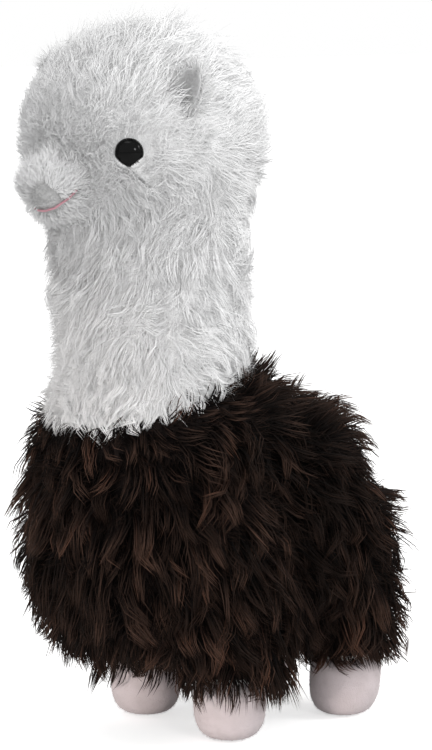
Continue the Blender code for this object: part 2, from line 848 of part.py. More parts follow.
def add_ear(name, axes, pile_look, lining_look):
    """The pile back of an ear and the smooth lining that lies in its cup."""
    back = add_leaf(
        name,
        axes,
        ear_sheet(EAR_HALF_WIDTH, EAR_HEIGHT, 0.0),
        ear_sheet(EAR_HALF_WIDTH, EAR_HEIGHT, EAR_THICKNESS),
        pile_look,
    )
    size = (EAR_HALF_WIDTH - EAR_BORDER, EAR_HEIGHT - EAR_BORDER)
    lining = add_leaf(
        f"{name}_lining",
        axes,
        ear_sheet(*size, -EAR_LINING_LIFT - EAR_LINING_THICKNESS),
        ear_sheet(*size, -EAR_LINING_LIFT),
        lining_look,
    )
    return back, lining


def add_tail(form, look):
    """A short tail that hangs from the middle of the rump."""
    start = Vector((0, RUMP_BEHIND + 2 * RUMP_HALF_LENGTH, TAIL_HEIGHT))
    root = form.ray_cast(start, -BACKWARDS)[0]
    bm = bmesh.new()
    turns = [2 * math.pi * side / TAIL_SIDES for side in range(TAIL_SIDES)]
    rings = []
    for share, swell in TAIL_RINGS:
        behind = TAIL_HALF_DEPTH * (TAIL_STAND_OFF + share)
        middle = root + Vector((0, behind, -TAIL_LENGTH * share))
        across = Vector((TAIL_HALF_WIDTH * swell, 0, 0))
        along = Vector((0, TAIL_HALF_DEPTH * swell, 0))
        rings.append([middle + across * math.cos(turn) + along * math.sin(turn) for turn in turns])
    add_loft(bm, rings, True, True)
    bmesh.ops.recalc_face_normals(bm, faces=bm.faces)
    tail = add_object("tail", bm, look)
    shade_round(tail)
    return tail


# Filling


def offset_net(bm, distance):
    """The net in triangles, moved along its own normals, inwards if the distance is positive."""
    moved = bm.copy()
    outward = moved.verts.layers.float_vector["outward"]
    for face in list(moved.faces):
        parts = halves(list(face.verts))
        if len(parts) > 1:
            moved.faces.remove(face)
            for corners in parts:
                moved.faces.new(corners)
    for vert in moved.verts:
        vert.co = moved_in(vert, outward, distance)
    return moved


def filling_net(form):
    """A coarser net, sunk until every part of each facet is deeper than the covers' facets.

    Those sink below the form by the rise of an arc over one tuft pitch.
    """
    bm = voxel_net(FILLING_PITCH, with_legs=False)
    bmesh.ops.triangulate(bm, faces=bm.faces)
    bm.normal_update()
    wanted = SKIN_WALL + SEAM_GAP + TUFT_PITCH**2 / (8 * LEG_END_RADIUS)
    normals = {vert: vert.normal.copy() for vert in bm.verts}
    for vert in bm.verts:
        vert.co -= normals[vert] * wanted
    for _ in range(SINKING_ROUNDS):
        sinking = {}
        for face in bm.faces:
            corners = [vert.co for vert in face.verts]
            samples = [sum(corners, Vector()) / 3]
            samples += [(corners[side - 1] + corners[side]) / 2 for side in range(3)]
            short = max(wanted - depth_in(form, sample) for sample in samples)
            if short > 0:
                for vert in face.verts:
                    sinking[vert] = max(sinking.get(vert, 0.0), short)
        for vert, depth in sinking.items():
            vert.co -= normals[vert] * depth
    return bm


def depth_in(tree, place):
    """How far a point lies below a closed surface, negative above it."""
    nearest, normal, _, distance = tree.find_nearest(place)
    return math.copysign(distance, (nearest - place).dot(normal))


def add_leg_filling(name, middle, rim, sole_forward):
    """The filling of one foot and of the leg above it, up into the body's filling."""
    facet_sink = FOOT_RADIUS * (1 - math.cos(math.pi / FOOT_SIDES))
    inset = SHORT_PILE_WALL + SEAM_GAP + facet_sink
    ankle = min(rim, FOOT_RADIUS) * ANKLE_FILLING
    top = FOOT_SEAM - SEAM_GAP
    rings = foot_rings(middle, ankle + inset, inset, top, sole_forward, FILLING_SIDES)
    hip = middle + GROUND_UP * (LEG_FILLING_TOP - FOOT_SEAM)
    rings.append(circle(hip, ankle, FILLING_SIDES))
    bm = bmesh.new()
    add_loft(bm, rings, True, True)
    bmesh.ops.recalc_face_normals(bm, faces=bm.faces)
    return add_cutter(f"filling_{name}", bm)


def add_nose_filling(head_form):
    bm = bmesh.new()
    add_loft(bm, muzzle_rings(SHORT_PILE_WALL + SEAM_GAP), True, True)
    bmesh.ops.recalc_face_normals(bm, faces=bm.faces)
    nose = add_cutter("filling_muzzle", bm)
    add_boolean(nose, head_form)
    return nose


def add_stuffing(form, net, legs, head_form, sockets, look):
    """One fibre filling through head, neck, body and legs, and into the feet and the muzzle."""
    filling = add_object("stuffing", filling_net(form), look)
    inside_covers = add_cutter("inside_covers", offset_net(net, SKIN_WALL + SEAM_GAP))
    add_boolean(filling, inside_covers, "INTERSECT")
    for name, measures in legs.items():
        add_boolean(filling, add_leg_filling(name, *measures), "UNION")
    add_boolean(filling, add_nose_filling(head_form), "UNION")
    plug = add_muzzle_opening("filling_muzzle_root", MUZZLE_OPENING - 2 * SEAM_GAP)
    add_boolean(filling, plug, "UNION")
    for socket in sockets:
        add_boolean(filling, socket)
    return filling


# Assembly


def make_looks():
    return {
        "brown": material("brown long pile", (0.012, 0.007, 0.005), 0.9),
        "white": material("white long pile", (0.68, 0.68, 0.68), 0.95),
        "muzzle": material("short grey-white pile", (0.43, 0.43, 0.43), 0.95),
        "foot": material("short lilac-white pile", (0.52, 0.46, 0.47), 0.95),
        "lining": material("grey brushed cloth", (0.46, 0.46, 0.47), 0.9),
        "eye": material("black glossy plastic", (0.004, 0.004, 0.004), 0.08),
        "washer": material("white plastic", (0.75, 0.75, 0.74), 0.4),
        "thread": material("pink thread", (0.55, 0.32, 0.34), 0.7),
        "fibre": material("white polyester fibre", (0.85, 0.85, 0.84), 1.0),
    }


def measure_legs(form):
    """Each leg's middle at its seam, its least radius there and how far its sole is forward."""
    legs = {}
    for name, (aside, behind) in FOOT_PLACES.items():
        middle = Vector((aside, behind, FOOT_SEAM))
        sole_forward = REAR_SOLE_FORWARD if behind > 0 else 0.0
        legs[name] = (middle, leg_radius_at_seam(form, middle), sole_forward)
    return legs


def add_face_trims(form, head_form, looks):
    """Ears, linings, eyes and washers of both sides, and the eyes' cutters and axes."""
    trims = {"ears": [], "linings": [], "eyes": [], "washers": []}
    sockets, places = [], []
    for name, side in (("left", 1), ("right", -1)):
        leaves = add_ear(f"ear_{name}", ear_axes(side), looks["white"], looks["lining"])
        for kind, leaf in zip(("ears", "linings"), leaves):
            add_boolean(leaf, head_form)
            trims[kind].append(leaf)
        axes = eye_axes(form, side)
        trims["eyes"].append(add_eye(f"eye_{name}", axes, looks["eye"]))
        trims["washers"].append(add_washer(f"eye_{name}_washer", axes, looks["washer"]))
        sockets.append(add_eye_socket(f"socket_{name}", axes))
        places.append(axes.translation)
    return trims, sockets, places


def add_body_skin(net, obstacles, look):
    """The body's cover, from the neck seam to the four foot seams, with its brown tufts."""
    bm = net.copy()
    cut_at(bm, NECK_SEAM_POINT, NECK_SEAM_NORMAL, SEAM_GAP)
    cut_at(bm, FOOT_SEAM_POINT, -GROUND_UP, SEAM_GAP)
    sheet = line_cover(bm, SKIN_WALL)
    draw_tufts(bm, sheet, body_pile, lambda place: False, obstacles, 0)
    return add_object("body_skin", bm, look)


def add_head_skin(net, obstacles, eye_places, cutters, look):
    """The neck and head's cover with its white tufts, flat around the eyes and under the muzzle."""

    def bare(place):
        at_eye = any((place - eye).length < EYE_RADIUS + EYE_BORDER for eye in eye_places)
        return at_eye or (place - MUZZLE_MIDDLE).length < MUZZLE_ROOT_RADIUS

    bm = net.copy()
    cut_at(bm, NECK_SEAM_POINT, -NECK_SEAM_NORMAL, SEAM_GAP)
    sheet = line_cover(bm, SKIN_WALL)
    draw_tufts(bm, sheet, head_pile, bare, obstacles, 1)
    skin = add_object("neck_and_head_skin", bm, look)
    for cutter in cutters:
        add_boolean(skin, cutter)
    return skin


def build():
    clear_scene()
    looks = make_looks()
    form = smooth_form()
    net = tuft_net(form)
    head_form = add_cutter("form_with_sewing_gap", offset_net(net, -SEAM_GAP))

    legs = measure_legs(form)
    feet = [add_foot(f"foot_{name}", *leg, looks["foot"]) for name, leg in legs.items()]
    muzzle = add_muzzle(head_form, looks["muzzle"])
    mouth = add_mouth(muzzle, looks["thread"])
    muzzle_hole = add_muzzle_opening("muzzle_opening", MUZZLE_OPENING)
    trims, sockets, eye_places = add_face_trims(form, head_form, looks)
    tail = add_tail(form, looks["brown"])
    add_boolean(tail, head_form)
    filling = add_stuffing(form, net, legs, head_form, sockets, looks["fibre"])

    around = [tree_of(thing) for thing in (*feet, tail)]
    body_skin = add_body_skin(net, around, looks["brown"])
    around = [body_skin, muzzle, *trims["ears"], *trims["linings"], *trims["eyes"]]
    around = [tree_of(thing) for thing in around]
    cutters = (muzzle_hole, *sockets)
    head_skin = add_head_skin(net, around, eye_places, cutters, looks["white"])
    net.free()

    pieces = [body_skin, head_skin, muzzle, mouth, tail, filling, *feet]
    for kind in trims.values():
        pieces += kind
    stand_on_origin(pieces)


def stand_on_origin(pieces):
    """Hangs everything on one empty, so that the middle of the underside is at the origin."""
    depsgraph = bpy.context.evaluated_depsgraph_get()
    corners = []
    for piece in pieces:
        mesh = piece.evaluated_get(depsgraph).to_mesh()
        corners += [piece.matrix_world @ vert.co for vert in mesh.vertices]
    corners = np.array(corners)
    low, high = corners.min(axis=0), corners.max(axis=0)
    stand = bpy.data.objects.new("llama", None)
    bpy.context.collection.objects.link(stand)
    stand.location = (-(low[0] + high[0]) / 2, -(low[1] + high[1]) / 2, -low[2])
    for thing in bpy.data.objects:
        if thing is not stand:
            thing.parent = stand


build()
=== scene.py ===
"""Looks of the plush llama: long brown and white pile, short plush, glossy eyes and pink stitching.

Each long-pile cover is the CAD cover without its tufts, made smooth, with locks of strands grown
on it. A strand is a thin closed three-sided solid. Its colour comes from its UV map alone: U picks
the strand's shade and V runs from its root to its tip.
"""

import math

import bmesh
import bpy
import numpy as np
from mathutils import Matrix, Vector
from mathutils.bvhtree import BVHTree
from mathutils.kdtree import KDTree


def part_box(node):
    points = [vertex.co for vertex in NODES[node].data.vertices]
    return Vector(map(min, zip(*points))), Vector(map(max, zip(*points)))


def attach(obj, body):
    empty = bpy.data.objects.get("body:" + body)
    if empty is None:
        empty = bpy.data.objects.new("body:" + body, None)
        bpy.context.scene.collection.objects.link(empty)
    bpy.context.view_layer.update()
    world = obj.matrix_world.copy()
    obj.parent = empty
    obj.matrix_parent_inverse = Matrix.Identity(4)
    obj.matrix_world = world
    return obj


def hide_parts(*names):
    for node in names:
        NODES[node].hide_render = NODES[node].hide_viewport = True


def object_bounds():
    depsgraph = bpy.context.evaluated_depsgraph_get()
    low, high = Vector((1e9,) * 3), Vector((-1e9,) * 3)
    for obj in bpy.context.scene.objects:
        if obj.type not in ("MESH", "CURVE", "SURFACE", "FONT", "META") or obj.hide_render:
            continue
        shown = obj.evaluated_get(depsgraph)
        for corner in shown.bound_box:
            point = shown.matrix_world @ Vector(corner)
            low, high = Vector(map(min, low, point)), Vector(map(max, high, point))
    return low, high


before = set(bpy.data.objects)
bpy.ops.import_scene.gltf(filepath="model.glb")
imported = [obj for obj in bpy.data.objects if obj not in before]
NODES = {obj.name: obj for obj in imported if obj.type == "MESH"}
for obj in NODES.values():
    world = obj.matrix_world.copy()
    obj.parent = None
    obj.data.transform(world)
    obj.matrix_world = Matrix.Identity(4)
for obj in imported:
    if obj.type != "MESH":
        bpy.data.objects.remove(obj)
CAD_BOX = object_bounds()
UV_NAME = "OFBake"
UP = np.array((0.0, 0.0, 1.0))
BACKWARDS = np.array((0.0, 1.0, 0.0))


def turn_towards(item, aim):
    """Points a camera or a lamp, both of which look along their own -Z."""
    item.rotation_mode = "QUATERNION"
    item.rotation_quaternion = (Vector(aim) - item.location).to_track_quat("-Z", "Y")


# Camera: the photograph's angle, from the toy's front left and a little above

CAMERA_AZIMUTH = math.radians(50)
CAMERA_DISTANCE = 1.35
CAMERA_HEIGHT = 0.354
CAMERA_LENS = 144.5
CAMERA_SENSOR = 36
AIM_HEIGHT = 0.1605
AIM_ASIDE = 0.0040


def add_camera():
    right = Vector((math.cos(CAMERA_AZIMUTH), math.sin(CAMERA_AZIMUTH), 0))
    away = Vector((math.sin(CAMERA_AZIMUTH), -math.cos(CAMERA_AZIMUTH), 0))
    data = bpy.data.cameras.new("camera")
    data.lens = CAMERA_LENS
    data.sensor_width = CAMERA_SENSOR
    camera = bpy.data.objects.new("camera", data)
    bpy.context.scene.collection.objects.link(camera)
    camera.location = away * CAMERA_DISTANCE + Vector((0, 0, CAMERA_HEIGHT))
    turn_towards(camera, Vector((0, 0, AIM_HEIGHT)) + right * AIM_ASIDE)
    bpy.context.scene.camera = camera


# Materials

CLOTH_ROUGHNESS = 0.95
CLOTH_SPECULAR = 0.2
SHEEN_ROUGHNESS = 0.6
NAP_FINENESS = 14
NAP_HEIGHT = 0.0006
THREAD_TWIST = 900


def grey(level):
    return (level, level, level)


def principled(name, colour, roughness, specular=0.5):
    made = bpy.data.materials.new(name)
    made.use_nodes = True
    shader = made.node_tree.nodes["Principled BSDF"]
    shader.inputs["Base Color"].default_value = (*colour, 1)
    shader.inputs["Roughness"].default_value = roughness
    shader.inputs["Specular IOR Level"].default_value = specular
    return made, made.node_tree, shader


def add_node(tree, kind, **settings):
    node = tree.nodes.new(kind)
    for key, value in settings.items():
        setattr(node, key, value)
    return node


def add_ramp(tree, source, stops):
    """A colour ramp fed by a socket. Each stop is (place, linear colour)."""
    ramp = add_node(tree, "ShaderNodeValToRGB")
    elements = ramp.color_ramp.elements
    while len(elements) < len(stops):
        elements.new(0.5)
    for element, (place, colour) in zip(elements, stops):
        element.position = place
        element.color = (*colour, 1)
    tree.links.new(source, ramp.inputs["Fac"])
    return ramp.outputs["Color"]


def multiply(tree, first, second):
    mix = add_node(tree, "ShaderNodeMix", data_type="RGBA", blend_type="MULTIPLY")
    mix.inputs[0].default_value = 1
    tree.links.new(first, mix.inputs[6])
    tree.links.new(second, mix.inputs[7])
    return mix.outputs[2]


def strand_material(name, along, across, roughness, specular):
    """A pile material: one ramp from root to tip, times one over the strands' shades."""
    made, tree, shader = principled(name, along[-1][1], roughness, specular)
    uv = add_node(tree, "ShaderNodeUVMap", uv_map=UV_NAME)
    parts = add_node(tree, "ShaderNodeSeparateXYZ")
    tree.links.new(uv.outputs["UV"], parts.inputs[0])
    colour = multiply(
        tree,
        add_ramp(tree, parts.outputs["Y"], along),
        add_ramp(tree, parts.outputs["X"], across),
    )
    tree.links.new(colour, shader.inputs["Base Color"])
    return made


def cloth_material(name, dark, pale, scale, bump, sheen=0.2):
    """Short plush: mottled colour, a fine nap in the bump and a soft sheen."""
    made, tree, shader = principled(name, dark, CLOTH_ROUGHNESS, CLOTH_SPECULAR)
    coordinates = add_node(tree, "ShaderNodeTexCoord")
    mottle = add_node(tree, "ShaderNodeTexNoise")
    mottle.inputs["Scale"].default_value = scale
    mottle.inputs["Detail"].default_value = 4
    nap = add_node(tree, "ShaderNodeTexNoise")
    nap.inputs["Scale"].default_value = scale * NAP_FINENESS
    nap.inputs["Detail"].default_value = 2
    for noise in (mottle, nap):
        tree.links.new(coordinates.outputs["Object"], noise.inputs["Vector"])
    colour = add_ramp(tree, mottle.outputs["Fac"], [(0.3, dark), (0.7, pale)])
    tree.links.new(colour, shader.inputs["Base Color"])
    shape = add_node(tree, "ShaderNodeBump")
    shape.inputs["Strength"].default_value = bump
    shape.inputs["Distance"].default_value = NAP_HEIGHT
    tree.links.new(nap.outputs["Fac"], shape.inputs["Height"])
    tree.links.new(shape.outputs["Normal"], shader.inputs["Normal"])
    shader.inputs["Sheen Weight"].default_value = sheen
    shader.inputs["Sheen Roughness"].default_value = SHEEN_ROUGHNESS
    return made


BROWN_STRANDS = strand_material(
    "brown_pile_strands",
    along=[
        (0.0, (0.002, 0.0010, 0.0008)),
        (0.4, (0.0065, 0.0037, 0.0028)),
        (1.0, (0.068, 0.044, 0.034)),
    ],
    across=[
        (0.0, (0.18, 0.16, 0.15)),
        (0.5, (0.60, 0.53, 0.50)),
        (0.85, (1.5, 1.3, 1.2)),
        (1.0, (2.2, 1.65, 1.4)),
    ],
    roughness=0.6,
    specular=0.06,
)
WHITE_STRANDS = strand_material(
    "white_pile_strands",
    along=[(0.0, grey(0.93)), (0.5, grey(0.94)), (1.0, grey(0.94))],
    across=[(0.0, (0.96, 0.96, 0.965)), (1.0, grey(1.0))],
    roughness=0.9,
    specular=0.05,
)
FOOT_FUZZ = strand_material(
    "foot_fuzz",
    along=[(0.0, (0.50, 0.435, 0.44)), (1.0, (0.60, 0.53, 0.54))],
    across=[(0.0, grey(0.9)), (1.0, grey(1.0))],
    roughness=0.9,
    specular=0.1,
)
MUZZLE_FUZZ = strand_material(
    "muzzle_fuzz",
    along=[(0.0, grey(0.48)), (1.0, grey(0.66))],
    across=[(0.0, grey(0.88)), (1.0, grey(1.0))],
    roughness=0.9,
    specular=0.1,
)
BROWN_BACKING = cloth_material(
    "brown_pile_backing",
    dark=(0.004, 0.0025, 0.002),
    pale=(0.012, 0.007, 0.006),
    scale=90,
    bump=0.6,
    sheen=0.0,
)
WHITE_BACKING = cloth_material(
    "white_pile_backing", dark=grey(0.88), pale=grey(0.92), scale=90, bump=0.6, sheen=0.0
)
MUZZLE_PLUSH = cloth_material(
    "muzzle_plush", dark=grey(0.50), pale=grey(0.58), scale=120, bump=0.5
)
FOOT_PLUSH = cloth_material(
    "foot_plush", dark=(0.50, 0.435, 0.44), pale=(0.58, 0.51, 0.52), scale=110, bump=0.5
)
EAR_CLOTH = cloth_material(
    "ear_lining_cloth", dark=(0.88, 0.88, 0.885), pale=(0.93, 0.93, 0.935), scale=150, bump=0.5
)


# Surfaces taken from the CAD covers

WELD_DISTANCE = 2e-6


def welded(node):
    """A CAD node as a bmesh whose facets share their corners."""
    bm = bmesh.new()
    bm.from_mesh(NODES[node].data)
    bmesh.ops.remove_doubles(bm, verts=bm.verts, dist=WELD_DISTANCE)
    bmesh.ops.triangulate(bm, faces=bm.faces)
    return bm


def tree_of(*nodes):
    """One search tree over the facets of some CAD nodes."""
    points, triangles = [], []
    for node in nodes:
        bm = welded(node)
        bm.verts.index_update()
        first = len(points)
        points += [vert.co.copy() for vert in bm.verts]
        triangles += [tuple(first + vert.index for vert in face.verts) for face in bm.faces]
        bm.free()
    return BVHTree.FromPolygons(points, triangles)


def without_tufts(node):
    """A cover with each tuft's three sides put back to the flat facet that the tuft stands on."""
    bm = welded(node)
    tips = [vert for vert in bm.verts if len(vert.link_faces) == 3 and len(vert.link_edges) == 3]
    marked = set(tips)
    for tip in tips:
        base = [edge.other_vert(tip) for edge in tip.link_edges]
        if any(vert in marked for vert in base):
            continue
        face = tip.link_faces[0]
        others = [vert for vert in face.verts if vert is not tip]
        last = next(vert for vert in base if vert not in others)
        start = list(face.verts).index(tip)
        first, second = face.verts[(start + 1) % 3], face.verts[(start + 2) % 3]
        bmesh.ops.delete(bm, geom=[tip], context="VERTS")
        if bm.faces.get((first, second, last)) is None:
            bm.faces.new((first, second, last))
    bm.normal_update()
    return bm


def placed(name, mesh):
    piece = bpy.data.objects.new(name, mesh)
    bpy.context.scene.collection.objects.link(piece)
    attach(piece, "root")
    return piece


def add_piece(name, bm, look, slot, *replaced):
    mesh = bpy.data.meshes.new(name)
    bm.to_mesh(mesh)
    bm.free()
    mesh.materials.append(look)
    mesh.shade_smooth()
    piece = placed(name, mesh)
    if replaced:
        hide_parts(*replaced)
    return piece


def subdivided(piece, levels):
    """Applies a subdivision surface, so that what is grown on the piece sees its final shape."""
    rounder = piece.modifiers.new("round", "SUBSURF")
    rounder.levels = rounder.render_levels = levels
    depsgraph = bpy.context.evaluated_depsgraph_get()
    mesh = bpy.data.meshes.new_from_object(piece.evaluated_get(depsgraph))
    piece.modifiers.clear()
    piece.data = mesh
    mesh.shade_smooth()
    return piece


# Strands


def unit(vectors):
    return vectors / np.maximum(np.linalg.norm(vectors, axis=-1, keepdims=True), 1e-9)


def dots(first, second):
    return np.sum(first * second, axis=-1, keepdims=True)


def along_surface(directions, normals):
    return unit(directions - normals * dots(directions, normals))


def rising(values, none, full):
    return np.clip((values - none) / (full - none), 0, 1)


def drift(points, size, seed, waves=7):
    """Smooth random vectors that change over about one size, each part about -1 to 1."""
    chance = np.random.default_rng(seed)
    total = np.zeros_like(points)
    for _ in range(waves):
        way = unit(chance.normal(size=3)) * 2 * math.pi / size * chance.uniform(0.5, 1.3)
        phase = chance.uniform(0, 2 * math.pi)
        total += np.sin(points @ way + phase)[:, None] * chance.normal(size=3)
    return total / math.sqrt(waves)


def scatter(piece, inside, count, seed, weight=None):
    """Random points on the outer side of a piece, and the normals there."""
    mesh = piece.data
    mesh.calc_loop_triangles()
    corners = np.empty(len(mesh.vertices) * 3)
    mesh.vertices.foreach_get("co", corners)
    corners = corners.reshape(-1, 3)
    turned = np.empty(len(mesh.vertices) * 3)
    mesh.vertices.foreach_get("normal", turned)
    turned = turned.reshape(-1, 3)
    triangles = np.empty(len(mesh.loop_triangles) * 3, np.int64)
    mesh.loop_triangles.foreach_get("vertices", triangles)
    triangles = triangles.reshape(-1, 3)
    a, b, c = (corners[triangles[:, side]] for side in range(3))
    facing = np.cross(b - a, c - a)
    area = np.linalg.norm(facing, axis=1) / 2
    middles = (a + b + c) / 3
    if inside is not None:
        outer = np.zeros(len(middles), bool)
        for index, (middle, way) in enumerate(zip(middles, facing)):
            nearest = inside.find_nearest(Vector(middle))[0]
            outer[index] = (nearest - Vector(middle)).dot(Vector(way)) < 0
        area = area * outer
    if weight is not None:
        area = area * weight(middles)
    chance = np.random.default_rng(seed)
    picked = chance.choice(len(triangles), count, p=area / area.sum())
    u, v = chance.uniform(size=(2, count, 1))
    u, v = np.where(u + v > 1, 1 - u, u), np.where(u + v > 1, 1 - v, v)
    a, b, c = triangles[picked].T
    roots = corners[a] * (1 - u - v) + corners[b] * u + corners[c] * v
    normals = unit(turned[a] * (1 - u - v) + turned[b] * u + turned[c] * v)
    return roots, normals


def lock_of_each(roots, locks, seed):
    """Picks some roots as the middles of locks, and says which lock each root belongs to."""
    chance = np.random.default_rng(seed)
    centres = chance.choice(len(roots), locks, replace=False)
    tree = KDTree(locks)
    for index, centre in enumerate(centres):
        tree.insert(Vector(roots[centre]), index)
    tree.balance()
    return centres, np.array([tree.find(Vector(root))[1] for root in roots])


def lock_draws(chance, locks, lock):
    """A function that draws one value for each lock and gives it to all strands of the lock."""
    return lambda low, high: chance.uniform(low, high, (locks, 1))[lock]


def grown(roots, normals, lean, rise, length, joints, droop, sway, curl=0.0):
    """The joints of each strand from its root to its tip, as it bends from rising to hanging."""
    share = np.linspace(0, 1, joints)
    points = [roots]
    for step in range(1, joints):
        s = share[step]
        way = normals * rise * (1 - 0.75 * s) + lean * (0.35 + 0.65 * s)
        way = way + sway * (s * 1.2) - UP * droop * s
        if np.ndim(curl):
            way = way + np.cross(way, normals) * curl * math.sin(s * math.pi * 1.6)
        points.append(points[-1] + unit(way) * length / (joints - 1))
    return np.stack(points, axis=1)


def gathered(points, centres, lock, closeness):
    """Draws the strands of each lock together towards its middle strand, most at the tips."""
    share = np.linspace(0, 1, points.shape[1])[None, :, None]
    middle = points[centres][lock]
    pull = closeness * share**1.4
    return points * (1 - pull) + middle * pull


# Where a strand is widest along its length, and its width there
TAPER_PLACES = (0, 0.35, 1)
TAPER_WIDTHS = (0.85, 1.0, 0.45)
# The shades and heights keep this far from the edge of the UV map
UV_EDGE = 0.02
UV_SPAN = 0.96


def add_strands(name, points, width, shades, look, facing=None, softness=0.0):
    """One piece of closed three-sided tapered strands.

    Softness turns their shading normals towards the cover's, so that many strands shade as a mass.
    """
    count, joints = points.shape[:2]
    rings = joints - 1
    ahead = unit(np.gradient(points, axis=1))
    turned = np.random.default_rng(len(name) + count).normal(size=(count, 1, 3))
    lead = unit(points[:, -1:] - points[:, :1])
    turned = unit(turned - lead * dots(turned, lead))
    side = unit(turned - ahead * dots(turned, ahead))
    up = np.cross(ahead, side)
    taper = np.interp(np.arange(rings) / rings, TAPER_PLACES, TAPER_WIDTHS)
    radius = width[:, None, None] / 2 * taper[None, :, None]
    corners = []
    for turn in (0, 2 * math.pi / 3, 4 * math.pi / 3):
        around = side[:, :rings] * math.cos(turn) + up[:, :rings] * math.sin(turn)
        corners.append(points[:, :rings] + around * radius)
    tubes = np.stack(corners, axis=2).reshape(count, rings * 3, 3)
    vertices = np.concatenate([tubes, points[:, -1:]], axis=1)
    block = rings * 3 + 1
    faces = [(2, 1, 0)]
    for ring in range(rings - 1):
        low, high = ring * 3, ring * 3 + 3
        for corner in range(3):
            after = (corner + 1) % 3
            faces.append((low + corner, low + after, high + after))
            faces.append((low + corner, high + after, high + corner))
    last = (rings - 1) * 3
    faces += [(last + corner, last + (corner + 1) % 3, block - 1) for corner in range(3)]
    faces = np.array(faces)
    every = (faces[None] + (np.arange(count) * block)[:, None, None]).reshape(-1)
    height = np.append(np.repeat(np.arange(rings) / rings, 3), 1.0)
    mesh = bpy.data.meshes.new(name)
    mesh.vertices.add(count * block)
    mesh.vertices.foreach_set("co", vertices.astype(np.float32).ravel())
    mesh.loops.add(len(every))
    mesh.loops.foreach_set("vertex_index", every.astype(np.int32))
    triangles = len(every) // 3
    mesh.polygons.add(triangles)
    mesh.polygons.foreach_set("loop_start", np.arange(0, len(every), 3, dtype=np.int32))
    mesh.update(calc_edges=True)
    uv = mesh.uv_layers.new(name=UV_NAME)
    places = np.empty((count, len(faces) * 3, 2), np.float32)
    places[..., 0] = UV_EDGE + UV_SPAN * shades[:, None]
    places[..., 1] = UV_EDGE + UV_SPAN * height[faces.reshape(-1)][None]
    uv.data.foreach_set("uv", places.ravel())
    mesh.shade_smooth()
    if facing is not None:
        outward = (tubes.reshape(count, rings, 3, 3) - points[:, :rings, None]) / radius[:, :, None]
        outward = np.concatenate([outward.reshape(count, rings * 3, 3), ahead[:, -1:]], axis=1)
        mixed = unit(outward * (1 - softness) + facing[:, None] * softness)
        mesh.normals_split_custom_set_from_vertices(mixed.reshape(-1, 3))
    mesh.materials.append(look)
    return placed(name, mesh)


def middle_of(node):
    low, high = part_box(node)
    return np.array((low + high) / 2)


# What the pile keeps clear of

FILLING = tree_of("stuffing")
MUZZLE_TREE = tree_of("muzzle")
NECK_TREE = tree_of("neck_and_head_skin")
BODY_TREE = tree_of("body_skin")
EAR_TREE = tree_of("ear_left", "ear_right", "ear_left_lining", "ear_right_lining")
NECK_MIDDLE = middle_of("neck_and_head_skin")
# White pile hangs over the brown around this turn from the front, in degrees to the toy's left
CHEST_TURN = 8
CHEST_SPAN = (54, 36)
EYE_CLEARANCE = 1.02
# How deep behind an eye's ring the pile still counts as before it
EYE_DEPTH = 0.004
CROSSING_DEPTH = 0.003
UNDERCOAT_OFF_MUZZLE = 0.0004
UNDERCOAT_OFF_EARS = 0.0010
UNDERCOAT_SEAM_REACH = (0.002, 0.014)


def white_over(roots):
    """1 on the chest, where white pile hangs over the brown, to 0 where the brown stands up."""
    turn = np.degrees(np.arctan2(roots[:, 0] - NECK_MIDDLE[0], NECK_MIDDLE[1] - roots[:, 1]))
    return rising(np.abs(turn - CHEST_TURN), *CHEST_SPAN)[:, None]


def distances(points, tree):
    return np.array([tree.find_nearest(Vector(point))[3] for point in points])


def eye_frame(node):
    """An eye's widest ring, the way the eye looks, the ring's radius and its dome's height.

    They come from the symmetry of the eye's solid. Its stem is longer than its dome is high.
    """
    bm = welded(node)
    points = np.array([vert.co[:] for vert in bm.verts])
    bm.free()
    values, ways = np.linalg.eigh(np.cov((points - points.mean(0)).T))
    odd = 0 if abs(values[1] - values[0]) > abs(values[2] - values[1]) else 2
    axis = ways[:, odd]
    along = (points - points.mean(0)) @ axis
    spread = np.linalg.norm(points - points.mean(0) - np.outer(along, axis), axis=1)
    wide = along[spread > spread.max() * 0.98].mean()
    if along.max() - wide > wide - along.min():
        axis, along, wide = -axis, -along, -wide
    return points.mean(0) + axis * wide, axis, spread.max(), along.max() - wide


EYES = {node: eye_frame(node) for node in ("eye_left", "eye_right")}


def near_eyes(roots, reach):
    """1 at an eye's rim, falling to 0 at some eye radii from its middle."""
    near = np.zeros((len(roots), 1))
    for place, _, radius, _ in EYES.values():
        gap = np.linalg.norm(roots - place, axis=1, keepdims=True)
        near = np.maximum(near, 1 - rising(gap, radius, radius * reach))
    return near


def clear_of_eyes(points):
    """Moves what would cross an eye's dome out to its rim, so that the pile frames the eye."""
    for place, axis, radius, _ in EYES.values():
        offset = points - place
        aside = offset - axis * dots(offset, axis)
        span = np.linalg.norm(aside, axis=-1, keepdims=True)
        ahead = dots(offset, axis) > -EYE_DEPTH
        needed = radius * EYE_CLEARANCE
        inside = ahead & (span < needed)
        points = np.where(inside, points + unit(aside) * (needed - span), points)
    return points


def crosses_eyes(points):
    """Says which strands pass in front of an eye's dome between their joints."""
    crossing = np.zeros(len(points), bool)
    for place, axis, radius, _ in EYES.values():
        for start, end in zip(range(points.shape[1] - 1), range(1, points.shape[1])):
            for share in (0.15, 0.35, 0.55, 0.75, 0.95):
                offset = points[:, start] * (1 - share) + points[:, end] * share - place
                ahead = offset @ axis
                aside = np.linalg.norm(offset - np.outer(ahead, axis), axis=1)
                crossing |= (ahead > -CROSSING_DEPTH) & (aside < radius)
    return crossing


